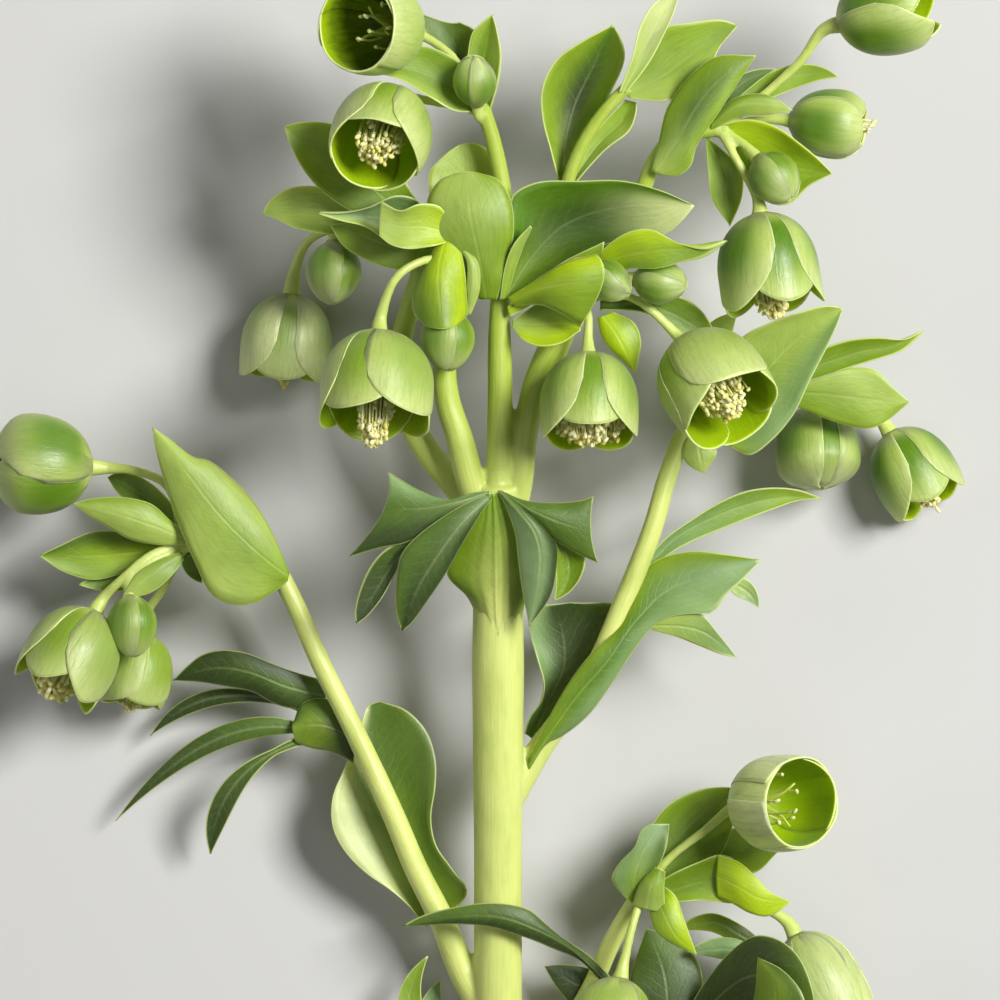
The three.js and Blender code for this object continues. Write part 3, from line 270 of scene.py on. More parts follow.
LEAVES = {
    "leaf_centre": [
        # sheath in front of the stem; its darker yellow green is partly painted shade under the
        # lobes
        sheet([(-4.4, -24, 27.6), (-6.6, -19.4, 30.6), (-10.6, -14.8, 33.2), (-9, -10, 36),
               (-5, -3, 39.2), (-3.4, 1.8, 41)],
              [(-0.4, -27, 31.8), (-0.5, -20, 33.8), (-0.6, -12, 36.8), (-0.8, -6, 39),
               (-1.4, 1.4, 41)],
              [(4, -26, 28), (5.2, -19, 30.8), (5.8, -11, 34.6), (4.6, -4, 38), (0.4, 1.6, 40.8)],
              ("stem", "yellow", "yellow", "yellow"), wave=0.01, pleats=3),
        # upper left lobe with its two teeth
        sheet([(-2.4, 0.8, 41.6), (-7, -1.4, 42.5), (-12, -5, 42.5), (-19, -8.6, 42),
               (-24, -9.6, 41), (-30.4, -11.4, 39.5)],
              [(-2.2, 1.4, 41.2), (-8, -0.4, 43), (-15, -1.6, 43.4), (-20, -1.8, 43),
               (-23.4, -2.2, 42)],
              [(-2.2, 2, 41.2), (-6, 1.4, 41.5), (-10.5, 0, 41.3), (-16, 2, 42),
               (-22.4, 5.6, 42.6)],
              ("green", "green", "dark", "grey"), wave=0.015),
        # the two long left lobes
        pointed([(-8, -4.6, 41), (-14, -8, 41.4), (-18.6, -10.6, 41.3), (-21.2, -15, 40.2),
                 (-24, -20, 38.8), (-27, -23.6, 38)],
                [(-8, -4.2, 41.6), (-15, -7.2, 42), (-20.4, -11.4, 40.2), (-24, -17, 38.6),
                 (-28.8, -24.8, 37.5)],
                [(-8, -3.6, 41), (-16, -6.6, 41), (-22.4, -9.6, 41), (-25.4, -12.6, 40.2),
                 (-27.8, -17.4, 39), (-29, -22.2, 38)],
                ("green", "dark"), wave=0.015),
        pointed([(-1.6, 0, 41.8), (-3, -1.6, 42.2), (-6.5, -7, 42.7), (-11, -15, 41.7),
                 (-15, -21, 40.5), (-17.8, -24.8, 39.8)],
                [(-2, 0.8, 42), (-7, -4, 44), (-12, -10.6, 44.2), (-16.5, -18, 42.6),
                 (-19.6, -26.2, 39.5)],
                [(-2.6, 1.4, 42), (-8, -1.2, 43.2), (-12.4, -4, 43.8), (-17, -7.6, 43.6),
                 (-19.8, -11, 42.8), (-20.8, -17, 41.5), (-20.6, -23, 40)],
                ("green", "dark", "dark", "green"), wave=0.015),
        # grey right lobe, folded along its midrib; its bloom-coloured edge is partly its grey bloom
        # and partly painted light where it faces the lamp
        pointed([(-0.6, 1.8, 41.4), (1, -1, 41.6), (3, -7, 41), (3.6, -12, 40), (4.4, -18, 38.6),
                 (5.4, -23, 37.6)],
                [(0, 1.8, 41.8), (3.6, -2, 43.4), (7, -6.4, 43.6), (8.1, -11, 42.8),
                 (7.6, -17.6, 40.6), (5.8, -25.4, 37)],
                [(0.6, 1.8, 41.4), (4.6, -1.2, 42), (9.4, -5.4, 41), (11.4, -9, 40),
                 (11.3, -14, 39), (10.3, -19, 38.2), (8, -22.6, 37.6)],
                ("green", "bloom", "bloom", "dark"), wave=0.015),
        # broad right lobe with its square end
        sheet([(0, 2, 41), (5, 0, 41.6), (12, -0.5, 42), (16, -0.1, 42.4), (18.6, 0.8, 42.5)],
              [(0.5, 1.6, 41.4), (6, -1.8, 43.2), (12, -4.4, 43.4), (16, -5.6, 42.8),
               (18.2, -6.2, 42)],
              [(1, 1, 41.4), (6, -3.4, 42), (10, -7.4, 41), (14.6, -10.2, 40.4), (17, -11.4, 40),
               (19.6, -12.6, 39.5)],
              ("green", "green")),
        # its lit lower half
        pointed([(6, -4.6, 40.2), (10.6, -9, 39.6), (11.1, -13, 38.4), (11.2, -17, 37.3)],
                [(7, -4.4, 40), (12.4, -9.4, 38.6), (13.9, -13, 37.2), (13.2, -17, 36.4),
                 (10.8, -20.2, 36.6)],
                [(8, -4, 40.4), (14.6, -9.4, 39.6), (16.9, -11.6, 39), (16, -15.6, 37.9),
                 (13.6, -18.6, 37)],
                ("yellow", "yellow"), wave=0.015),
    ],
    "leaf_right": [
        pointed([(45.5, 16, 28), (46.6, 25, 30.5), (48, 32, 33), (54, 35.4, 35), (60, 37.4, 36),
                 (65, 38.8, 35.8)],
                [(45.8, 14, 27.8), (50, 21, 30.2), (56, 28.6, 32), (62, 34, 33.6),
                 (68.6, 38.4, 35)],
                [(46, 10.8, 28.6), (50, 9, 29.8), (54, 11.6, 31.4), (58.6, 17, 32.8), (62, 24, 34),
                 (65.4, 30.6, 34.6), (67.4, 35, 34.9)],
                ("fresh", "pale", "pale", "grey")),
        blade((45, 21, 27), (55, 30.5, 28), (62, 36, 30), 9, 0.2, ("fresh", "green")),
        blade((43, 20, 28), (42.5, 30, 28), (47.4, 37.4, 28), 6, 0.2, ("pale", "pale"), 0.6),
        blade((39.5, 15, 28), (40, 9.5, 29.5), (41, 5.5, 28.5), 7, -0.4, ("pale", "pale")),
    ],
    "leaf_sheath_right": [
        # sheath round the foot of the branch and the broad blade it runs into
        pointed([(5.4, -52, 23), (9, -45, 25.4), (14, -36.4, 27.6), (18.6, -30.4, 28.6),
                 (24.4, -25, 27.4), (27, -18.4, 26.6), (30, -12.9, 26.6), (38, -10.3, 28),
                 (46, -11, 28)],
                [(5.8, -53.6, 23.2), (10.6, -46, 25.6), (16, -38.6, 27.6), (21.4, -32.4, 28.8),
                 (27.6, -24, 28.4), (34, -18, 27.6), (42, -15, 27.6), (52.4, -12, 27.4)],
                [(5.8, -54.6, 22), (9, -49.4, 22.8), (13, -47.2, 23.2), (18, -43, 24.6),
                 (23, -36, 26.2), (27, -30, 27.4), (31, -25, 28.4), (34.6, -23.2, 29),
                 (39, -22.7, 29.2), (42.6, -22.6, 29.2), (45.4, -19, 28.8), (48.4, -16.2, 28.2)],
                ("yellow", "bloom", "yellow", "grey", "core"), wave=0.012),
        blade((45.6, -16.6, 26.6), (49.4, -18.2, 26), (51.9, -21.7, 25.6), 4, 0.2, ("pale", "grey"),
              0.36),
        # edge of the broad blade, folded under
        pointed([(30, -26, 26.8), (35, -27.3, 26.6), (40, -29.3, 26), (44, -30.9, 25.6)],
                [(30, -25.2, 27.2), (36, -25.3, 27.6), (41, -26.5, 27), (47.6, -31.7, 25)],
                [(31, -24.4, 27.6), (36, -22.9, 28.3), (40.4, -22.9, 28), (43.4, -26.4, 27)],
                ("pale", "grey"), wave=0.01),
        # dark half behind the branch
        sheet([(8, -50, 18), (13, -42, 18.4), (18.6, -35, 18.8), (23, -28, 19.4), (24, -21.4, 20),
               (14, -20.6, 20)],
              [(6.4, -48, 17), (10, -40, 16.8), (13, -33, 17), (12.6, -26, 18), (10.6, -21, 19.8)],
              [(5, -47, 18), (6, -43.8, 18.6), (8.4, -40.6, 19), (9, -37, 19.2), (7.6, -32, 19.4),
               (6.2, -27, 19.8), (6.2, -23.8, 20), (9, -21, 20)],
              ("green", "dark", None, "grey")),
        # long narrow finger
        pointed([(31, -13.2, 25.2), (34, -10.8, 26), (38, -8.6, 26.4), (44, -6, 26.6),
                 (50, -3.6, 26.4), (56, -1.4, 25.8), (60, 0, 25.4)],
                [(30, -12.8, 24.8), (36, -7.2, 25.6), (44, -3, 26), (50, -0.8, 25.8),
                 (57, 0.6, 25.2), (64.4, 0.4, 25)],
                [(29, -12.6, 25.2), (33, -8, 26.2), (38, -4.4, 27), (44, -0.6, 27.4),
                 (49, 1.6, 27.2), (54, 2.4, 26.6), (60, 2, 25.6)],
                ("grey", "fresh")),
    ],
    "leaf_sheath_left": [
        # broad sheath behind the branch
        sheet([(-15, -86, 12.5), (-18, -82, 13), (-22, -78.4, 13.4), (-27, -75, 14),
               (-31, -71, 14.6), (-33.6, -66, 15), (-33.7, -60, 15.4), (-31.4, -54.4, 15),
               (-28.6, -48, 14), (-27, -42, 13.5)],
              [(-13, -85, 11.2), (-18, -74, 11.6), (-22.5, -63, 12), (-25.4, -52, 12.4),
               (-25.6, -41, 13.4)],
              [(-11, -84, 12.5), (-6.6, -79, 13.6), (-9.6, -74.4, 14.6), (-13, -69.6, 15.4),
               (-14, -64, 16), (-13.1, -58, 16.4), (-13, -52.4, 16), (-14.8, -46.6, 15.4),
               (-19, -42.2, 14.6), (-24, -40.6, 13.6)],
              ("fresh", "green", "white", "green"), wave=0.025),
        # hooded foot of its fingers
        sheet([(-29.6, -53, 14.6), (-34, -50.8, 14.8), (-38, -50, 15), (-41.2, -48.8, 15)],
              [(-29.4, -49, 16.6), (-33.6, -45.8, 17.6), (-38, -45.2, 17.4), (-41.8, -46, 16)],
              [(-29.8, -45, 15.4), (-32, -41.2, 15.6), (-36, -39.8, 15.6), (-40, -41, 15.6),
               (-41.6, -44.6, 15.2)],
              ("dark", "fresh", None, "green"), wave=0.01),
        pointed([(-36, -42.8, 14), (-41, -42.2, 14.8), (-45, -41.2, 15.2), (-50, -38.6, 15.2),
                 (-55, -37.5, 14.6), (-60, -36.8, 13.6)],
                [(-35, -39.6, 14.8), (-43, -37.4, 16.6), (-51, -34.4, 17.2), (-58, -33.8, 15.6),
                 (-66, -36.4, 12)],
                [(-34, -36.6, 14.6), (-40, -35, 15.6), (-46, -32.8, 16.4), (-51, -30.8, 16.6),
                 (-56, -30.2, 16.2), (-60, -31.2, 15), (-63, -33.4, 13.6)],
                ("green", "dark", "dark", "dark")),
        blade((-37, -43.5, 13), (-56, -39.6, 11), (-70.6, -47.6, 7), 3.6, -0.5, ("dark", "dark"),
              0.6),
        blade((-38, -46.6, 13.6), (-57.5, -48.4, 13), (-77.6, -64.8, 6.5), 4.8, -0.6,
              ("green", "dark"), 0.4),
        blade((-38.6, -48, 14), (-52.8, -56.6, 14), (-58.4, -71.4, 9), 4.8, 0.6, ("green", "dark"),
              0.66),
    ],
    "leaf_upper_middle": [
        pointed([(12, 63, 36), (10.2, 70, 38), (8.6, 76, 39.4), (8.4, 82, 40.4), (11, 87.6, 41),
                 (16, 91.2, 41.4), (20, 93.4, 41.2)],
                [(12.6, 63, 35), (13, 71, 34.4), (15, 79, 34.6), (18.8, 87, 37),
                 (22.6, 94.8, 40.5)],
                [(13.5, 63, 36), (17, 73, 37.5), (21.5, 80.4, 39.4), (24.8, 88, 40.8),
                 (24.2, 92, 41)],
                ("pale", "core", "fresh", "yellow", "dark")),
        sheet([(13, 62.8, 37.2), (18, 72, 37.6), (25, 80, 39)],
              [(13.6, 62.6, 36.8), (20, 71.4, 37.2), (24.4, 75.6, 38), (26.6, 79.6, 39)],
              [(14, 62.4, 37.8), (20.4, 69.4, 39.4), (25.6, 73.6, 40.2), (27, 77, 40.4),
               (27.2, 79.4, 39.8)],
              ("pale", "fresh", None, "pale")),
    ],
    "leaf_lower_right": [
        # long blade across the stem
        pointed([(29.6, -108, 11), (22, -99, 13.6), (16, -92.6, 16.6), (11, -90.4, 19.6),
                 (7, -88.6, 21.8), (3, -87.2, 23.2), (-2, -85.7, 23.8), (-8, -85.2, 23.2),
                 (-15, -85.4, 21.9)],
                [(30, -107, 11.8), (22, -97.6, 15), (14, -90, 20.4), (7, -86, 24), (0, -83.6, 25.2),
                 (-9, -83.6, 24.2), (-20, -85.8, 20.5)],
                [(30.5, -106, 11.4), (24, -98, 14), (18, -91.6, 17), (12, -87.6, 20.6),
                 (8.4, -84.4, 22.8), (6, -82.3, 23.8), (1.6, -81.1, 24.6), (-4, -80.9, 24.6),
                 (-10, -81.9, 23.6), (-16, -83.6, 22)],
                ("dark", "green", "dark"), wave=0.01),
        blade((31, -109, 11.5), (20, -100.5, 11), (9, -94, 11.5), 9.5, -0.3, ("dark", "dark")),
        blade((33, -108, 11.5), (33.5, -97, 12), (29.5, -86.5, 11.5), 15, -0.3, ("dark", "green")),
        # dark leaflet that arches over the lowest bell, and two more behind it
        pointed([(35, -109, 10), (40, -99, 15), (46, -91, 21), (51, -87.4, 26), (56, -88.2, 29.6),
                 (60, -91.7, 32.4), (62.5, -97.7, 34.2)],
                [(36, -110, 10), (43, -101, 16), (50, -95.6, 24), (55.6, -96, 30), (60, -100, 33),
                 (63.2, -104, 33)],
                [(37, -111, 10), (44, -106, 17), (50, -102, 25), (56, -104, 30), (60, -105.4, 32)],
                ("dark", "green", None, None, "dark"), wave=0.01),
        pointed([(54.6, -90.4, 14.6), (49, -85.8, 16), (43, -83.2, 15.4), (38.6, -84.2, 14)],
                [(54, -91, 14.4), (48.6, -87.6, 16.2), (43, -85, 15.6), (35.8, -86.6, 13)],
                [(53.4, -91.6, 14.2), (47.8, -89.4, 15.6), (42.6, -87, 14.8)],
                ("dark", "fresh")),
        pointed([(53, -90.4, 16.2), (46, -88, 16.4), (41, -88.8, 15.6)],
                [(53, -91.4, 16.4), (45.6, -90.4, 16.8), (37.6, -91, 14)],
                [(53, -92.4, 16), (46, -92.6, 15.8)],
                ("grey", "bloom")),
        # leaflet in front of the lowest bell
        pointed([(34.4, -110, 10.4), (41, -108, 16), (46, -106, 21.6), (50, -102.6, 26.6),
                 (51.4, -97.4, 29)],
                [(34.8, -110.8, 10.6), (44, -112, 17.4), (51, -109.4, 26), (54.8, -103, 32),
                 (55, -97, 34), (51.6, -91.6, 30.6)],
                [(35.2, -111.6, 10.4), (47, -116, 18), (57, -112, 29), (61.2, -105, 35),
                 (60.4, -99, 36.4), (56.4, -94, 34.4)],
                ("green", "fresh", None, "green")),
        blade((35, -110, 11.5), (53, -109, 11), (68, -116, 6), 9.5, -0.3, ("green", "dark")),
        blade((34, -111, 11), (43, -122, 9.5), (49, -135, 4), 9.5, -0.3, ("green", "dark")),
    ],
    "leaf_shoot": [
        blade((-5.6, -118, 11.5), (-17.5, -105, 10.5), (-14.6, -92, 12.5), 5.5, 0.4,
              ("fresh", "fresh")),
        blade((-5.8, -119, 8), (-13.5, -108, 6.5), (-12, -97, 5.5), 6.5, 0.3, ("grey", "grey")),
    ],
}

BRACTS = {
    "bract_round": [
        sheet([(-4.2, 40, 42), (-8.5, 47, 44.6), (-14, 54.5, 45.6), (-14.6, 59.6, 45.8),
               (-12, 63.6, 45.6), (-9, 65, 45.8)],
              [(-2.6, 40, 42.6), (-4, 48, 46.4), (-5.8, 57, 48.8), (-6.6, 65.4, 47)],
              [(-0.6, 40, 42.2), (1.2, 46, 44.6), (2.8, 54, 46.8), (2, 60.4, 47),
               (-0.4, 63.8, 46.6), (-4, 65.2, 46.6)],
              ("yellow", "pale", None, "fresh"), wave=0.025),
    ],
    "bract_large": [
        # The middle of its length takes painted shade where the blade lies in a shaded trough.
        pointed([(1.4, 39.6, 42), (3.4, 41, 42.6), (9, 45, 43.6), (17, 49.6, 44.4), (25, 52, 44.6),
                 (33, 53, 45.4), (36.6, 56, 46.6)],
                [(1, 40, 41.8), (6, 48, 41.8), (13, 55, 42.4), (24, 58.6, 44.6), (32, 59, 46),
                 (38.7, 58.6, 47)],
                [(0, 40, 42.2), (1, 47, 44.6), (2.2, 55, 46.6), (2.4, 60.4, 47.6), (7, 63, 48.2),
                 (15, 63.4, 48.2), (24, 63.6, 48), (32, 61.6, 47.8)],
                ("yellow", "white", None, "core", "trough_shade"), wave=0.015),
        # its inner edge, folded forward
        sheet([(0, 40, 43), (1, 46.5, 45.4), (2.8, 51, 47.4), (6, 54.6, 48.6)],
              [(0.7, 40, 42.8), (2.2, 46.4, 44.8), (4, 50.8, 46.6), (6.2, 54.4, 48.4)],
              [(1.4, 40, 42), (3.2, 46.2, 43.6), (4.8, 50.6, 45.2), (6.4, 54.2, 48)],
              ("fresh", "pale"), wave=0.0),
    ],
    "leaf_left": [
        pointed([(-42.6, -16.4, 24.4), (-45.4, -18.6, 24.6), (-49, -20.6, 25.2), (-54, -21, 26),
                 (-58, -18.8, 27), (-61, -13, 27.6), (-65.4, -2.4, 28), (-68.6, 8.4, 28.6)],
                [(-42.4, -15.4, 25.2), (-49, -10, 28.6), (-56, -3, 30), (-63, 6, 30.6),
                 (-69.7, 14.6, 29.4)],
                [(-42.2, -14.6, 24.4), (-44, -10.4, 25.4), (-46.4, -5, 26.4), (-50, 0.6, 27.2),
                 (-54.4, 5, 27.8), (-58.4, 8, 28.2), (-61.6, 8.8, 28.6), (-66, 12.2, 29)],
                ("fresh", "pale", "pale", "pale"), wave=0.015),
    ],
    "bracts_top": [
        pointed([(-4, 77.4, 43.4), (-9, 77.6, 45.3), (-14, 80.4, 46.4), (-19, 83.4, 46)],
                [(-4.6, 80, 42.6), (-12, 83.6, 43.4), (-19, 86, 44), (-25, 85.4, 45)],
                [(-5.5, 84.6, 43.6), (-10, 88.6, 44.4), (-16, 90.6, 44), (-22, 88.8, 44)],
                ("yellow", "fresh", "pale")),
        sheet([(-4, 78, 41), (-9, 86, 40), (-15, 94, 38.6), (-16, 97.4, 38)],
              [(-3.6, 78.4, 40), (-7, 87, 38.6), (-11, 95.6, 37.4)],
              [(-3, 78.4, 41), (-4, 86, 40.4), (-5, 93.6, 39.6), (-8, 95.4, 39)],
              ("fresh", "green")),
        pointed([(-5.4, 79, 42.6), (-6.4, 86, 43), (-5.6, 93, 44), (-3.4, 95.4, 44.4)],
                [(-3.6, 78, 42), (-3.4, 86, 42.4), (-2.4, 92, 43.6), (-1.6, 96.8, 44.5)],
                [(-2, 77.8, 43), (-0.4, 83.4, 45), (0.1, 88.6, 45.6), (-0.6, 93.4, 45.4)],
                ("yellow", "yellow", "fresh", "pale")),
    ],
    "bracts_upper_left": [
        blade((-13.5, 52, 35), (-30, 66, 37), (-43, 74.6, 38), 14, 0.35, ("yellow", "fresh")),
        blade((-15, 51, 33), (-36, 58, 32), (-47.4, 57.2, 30), 9.4, 0.4, ("fresh", "pale"), 0.52,
              0.95),
        pointed([(-14, 50, 35.4), (-21, 51, 39.6), (-27, 54.6, 41.4), (-32, 55.8, 41.4)],
                [(-14, 52.6, 35.4), (-21, 56, 39.4), (-28, 56.8, 40.8), (-36.4, 57.2, 41)],
                [(-13.6, 55, 36), (-17, 60, 41), (-21, 60.6, 42.6), (-26, 58.4, 42.4),
                 (-31, 57.2, 41.8)],
                ("green", "bloom", "pale")),
        pointed([(-12.6, 48.4, 35), (-18, 46, 36), (-23, 46.6, 36.8), (-28, 48.6, 37),
                 (-31.6, 51, 36.6)],
                [(-12.8, 50, 35.4), (-20, 50, 36.8), (-27, 52.4, 37.4), (-34, 55, 35.6)],
                [(-13, 51.6, 35), (-20, 54, 36.6), (-28, 55.6, 37)],
                ("fresh", "fresh")),
        blade((-12.5, 51, 34), (-7.5, 62, 35.5), (-8, 71, 36), 14.5, 0.3, ("pale", "pale"), 0.6,
              0.5),
    ],
    "bracts_hood": [
        # pale hood over the stalk
        sheet([(-10, 51.6, 45.8), (-14, 50.5, 48), (-18, 50, 48.8), (-21.6, 50.8, 48.6),
               (-24, 52.6, 48)],
              [(-9.4, 53, 45), (-14.6, 54.4, 47.2), (-20, 54.6, 47.4), (-24, 56, 47)],
              [(-9.6, 55, 46.2), (-12, 58.4, 48.4), (-16, 58.9, 49.2), (-19.8, 57.6, 48.8),
               (-23.7, 59.5, 47.6)],
              ("acid", "pale"), wave=0.03),
        # the same bract's lower half, folded over the bud
        sheet([(-13.4, 50, 44.5), (-15.8, 46, 45.6), (-17.4, 41, 46), (-17.2, 37.4, 46.4),
               (-14.8, 34.6, 49)],
              [(-11, 51.4, 46.2), (-12.2, 45.4, 49), (-12, 39.6, 50.4), (-11.4, 34, 50.8)],
              [(-8, 51, 45.6), (-7, 46, 46.8), (-6.6, 40.6, 46.6), (-6.4, 37, 46.4),
               (-8.6, 34.8, 49)],
              ("acid", "yellow", "yellow", "acid")),
        sheet([(-9.6, 52, 45), (-6.8, 48, 46.8), (-6.6, 42, 46.4), (-6.8, 37, 44.6)],
              [(-9, 52, 45.2), (-5.6, 47.6, 47.4), (-5.2, 42, 47), (-6.3, 37, 44.8)],
              [(-8.6, 52, 44.6), (-4.4, 47.4, 46.6), (-4, 42, 46.2), (-5.8, 37, 44.4)],
              ("pale", "pale")),
    ],
    "bracts_middle_right": [
        # hood over the second bud
        pointed([(17, 41.6, 41.6), (21, 44, 44.6), (26, 46, 49.6), (31, 46, 51.8), (36, 47.2, 52),
                 (41, 48.4, 52)],
                [(17, 43.6, 42), (23, 48, 48), (30, 49.6, 51.8), (37, 50, 52.4),
                 (45.2, 51.4, 52.6)],
                [(17, 45, 42.4), (20.6, 50, 48), (25.4, 53.2, 51.4), (30, 53.8, 52.2),
                 (36, 50.8, 52.6), (41, 49.8, 53)],
                ("acid", "yellow", "yellow", "acid")),
        # front bract round the first bud
        sheet([(2, 36.6, 42.2), (8, 39.4, 43), (12, 39, 44), (14.6, 36.4, 45.4), (16.2, 34.4, 46)],
              [(1.6, 37.6, 42.4), (8, 41.4, 42.8), (14, 42.6, 43.4), (19, 42.6, 44)],
              [(1.4, 38.4, 42.6), (7, 43.2, 44.4), (13, 47.6, 46.4), (20.8, 51.4, 49.4)],
              ("acid", "acid", "acid", "fresh")),
        sheet([(1.6, 40.4, 43.6), (8, 44.4, 48.4), (13, 47.4, 51), (19, 49, 51.8)],
              [(2, 39.6, 44.2), (9, 42.4, 50.6), (15, 43.2, 53.2), (20.6, 43.6, 53)],
              [(3, 38.6, 43.4), (9, 38.6, 48.4), (13.4, 36.2, 49.4), (16, 34.6, 48)],
              ("acid", "fresh", "acid", "fresh")),
        sheet([(2.4, 34.6, 41.6), (4.6, 32, 43.6), (8, 30.7, 45.2), (12, 31.3, 46),
               (16, 33.8, 46.2)],
              [(2.4, 35.4, 41.4), (7, 35, 42.6), (12, 35, 43.6), (16, 34.4, 45.4)],
              [(2.6, 36, 41.6), (7, 39, 42.4), (10.6, 40.8, 43), (13.6, 38.8, 44),
               (16, 34.8, 45.8)],
              ("pale", "acid", "acid", "yellow")),
        sheet([(19.4, 36.4, 40), (20.4, 32.4, 40.4), (22.6, 29.4, 40), (26.8, 25.6, 38.6)],
              [(20.6, 36.8, 40.6), (23.6, 32.6, 41.8), (25.4, 29, 41), (26.9, 25.5, 38.6)],
              [(22.6, 37.6, 40), (26.8, 35.4, 40.6), (28.2, 31.6, 40.2), (27.6, 28, 39.4),
               (27.2, 25.6, 38.6)],
              ("acid", "acid", None, "fresh")),
        sheet([(20, 38, 39.4), (29, 37.4, 40.8), (35, 34, 40.4), (38.4, 31, 39.6), (43.6, 31, 38)],
              [(20, 39, 39), (30, 38.8, 40), (38, 35.4, 39.6), (43.6, 31, 38)],
              [(20, 40, 39.6), (28, 40.6, 40.8), (36, 40.6, 41), (40.4, 37.6, 40), (43.6, 32, 38)],
              ("green", "yellow")),
    ],
    "bracts_upper_middle": [
        pointed([(25, 81.2, 43.2), (29.5, 87, 44.2), (32.8, 93, 44.8), (35, 98.4, 45.2)],
                [(24.4, 81.2, 43), (28, 87.8, 43.6), (30.8, 94, 44.2), (33.4, 98.4, 44.6),
                 (36, 102.6, 45)],
                [(23.8, 81.2, 43.4), (26.4, 88, 45.2), (27.8, 94, 45.8), (30.4, 98.6, 45.8)],
                ("pale", "white")),
        pointed([(26, 80.2, 41.6), (33, 79.7, 43), (38, 82, 43.6), (42, 86.6, 43.4),
                 (43.8, 90.4, 43)],
                [(25, 81, 41), (33, 85, 41.8), (40, 90.2, 42.2), (47.4, 94.8, 42)],
                [(24.5, 81.4, 41.6), (28, 88.4, 43.6), (32, 93.8, 44), (38, 95.2, 43.8),
                 (44, 95.8, 43)],
                ("pale", "yellow", "pale", "fresh", "fresh")),
    ],
    "bracts_upper_right": [
        # clasps the stem from one side
        pointed([(32, 64.8, 42.6), (35.4, 64.6, 44), (38, 66.6, 45), (39.2, 70.4, 45.4),
                 (44.4, 78.4, 46), (48, 84, 46.2)],
                [(31, 65.2, 43), (35.4, 71.6, 45.6), (40.2, 79.6, 46.8), (45.4, 85, 47),
                 (51.2, 88.6, 46)],
                [(30.2, 65.6, 42.4), (31.8, 72, 43.6), (33.2, 78, 44.4), (37, 83.8, 45.4),
                 (43, 88.4, 45.8)],
                ("pale", "yellow", "fresh", "yellow", "green")),
        blade((41.5, 73.8, 42), (56, 83.6, 40.5), (67.4, 84.4, 41.5), 5, 0.4, ("fresh", "fresh")),
        blade((41.5, 74, 42), (47, 82, 41.5), (55, 86, 41), 3.6, 0.4, ("green", "green")),
        pointed([(42, 73.6, 44), (48, 76.4, 45.6), (54, 76.8, 46.4)],
                [(42, 74.4, 44.4), (47.6, 78.6, 46.8), (54, 79, 47.2), (58.4, 77.6, 46)],
                [(42, 75.4, 44), (46.4, 80, 45.8), (52, 81, 46.8), (55.4, 79.8, 46.8)],
                ("fresh", "pale", None, "yellow")),
        # boat that holds the bud
        pointed([(43.6, 72.5, 43), (48.6, 66, 42.8), (53, 59.6, 43.4), (57.5, 59, 45),
                 (61.5, 62.6, 46)],
                [(43.5, 73.5, 43), (50, 70.4, 43), (57, 67, 43.6), (66.2, 65, 46.5)],
                [(44, 74.8, 44.4), (50, 75.7, 46.6), (56, 73.7, 48), (62, 69, 48)],
                ("acid", "fresh", "fresh", "acid")),
        pointed([(42, 72, 42), (48, 66, 40), (48.4, 61, 39.4)],
                [(41.4, 72, 42), (45, 65, 39.6), (45.4, 60, 39), (46, 54.6, 38)],
                [(41, 72.4, 42), (41.6, 65.4, 40.6), (42.4, 60, 39.6)],
                ("yellow", "yellow", None, "fresh")),
    ],
    "bracts_right": [
        pointed([(55, 23, 28.2), (63, 24.2, 29), (70, 26.6, 29.4), (76, 28.4, 29.6),
                 (81, 30.2, 29.4)],
                [(55, 23.8, 28), (64, 27, 28.4), (72, 29.6, 28.6), (79, 31, 28.8), (85, 33.8, 29)],
                [(55, 24.6, 28.2), (62, 29, 29.4), (69, 31.8, 30), (76, 32.5, 30), (81, 32, 29.6)],
                ("yellow", "fresh")),
        pointed([(55, 20.4, 27.6), (61, 18, 27.4), (68, 15.4, 26.8), (74, 14.4, 26.4),
                 (78.6, 16.6, 26.2)],
                [(55, 21.4, 28), (63, 21.4, 28.4), (71, 20.6, 28.2), (77, 19.8, 27.4),
                 (82.2, 19.6, 26.2)],
                [(55, 22.4, 28.2), (63, 24.4, 29), (70, 26.4, 29.2), (75, 26.2, 28.6),
                 (78.6, 22.8, 27.6)],
                ("fresh", "pale", "fresh", "pale"), wave=0.03),
    ],
    "bracts_left": [
        pointed([(-62.5, -7, 24), (-66, -4.2, 26), (-70, -0.7, 27.2), (-76, 0.6, 27.8),
                 (-82, 0.3, 28)],
                [(-62.6, -8, 24.6), (-70, -5, 28), (-78, -2.4, 28.8), (-85.8, -0.7, 27.6)],
                [(-63, -9, 23.6), (-68, -9.1, 25.4), (-74, -8, 26.4), (-79, -5.2, 27),
                 (-83, -2.8, 27.4)],
                ("pale", "pale", "fresh")),
        pointed([(-61, -8.4, 20.6), (-70, -8.4, 21.2), (-77, -6.2, 21.6), (-82, -6.4, 21.8),
                 (-88, -9, 21.6)],
                [(-61, -9.4, 20), (-72, -10.4, 19.6), (-82, -11.2, 20), (-92.6, -11.2, 21)],
                [(-61, -10, 20), (-70, -12.2, 20), (-76, -14.8, 20), (-82, -16, 20),
                 (-88, -14.2, 20.4)],
                ("acid", "yellow", "green", "fresh"), wave=0.03),
        blade((-60.5, -9, 19.4), (-73, -14.6, 17.8), (-84.5, -17, 19), 6, 0.3, ("fresh", "yellow")),
        blade((-61, -8.4, 19.8), (-72, 1, 17.5), (-79, 4.5, 15), 6, 0.3, ("fresh", "green")),
        blade((-61, -9, 19.6), (-61.5, -13, 18.5), (-60, -16.6, 19), 5, 0.3, ("yellow", "green"),
              0.4),
        pointed([(-63.4, -12, 24.6), (-66, -15.4, 26.4), (-70, -18.6, 26.6)],
                [(-63.6, -11, 24.8), (-68, -13.8, 27), (-72, -16.8, 27.2), (-76, -20, 26.4)],
                [(-64, -10.4, 24.4), (-68.6, -12, 26.4), (-73, -15, 26.8)],
                ("yellow", "pale")),
    ],
    "bracts_lower_right": [
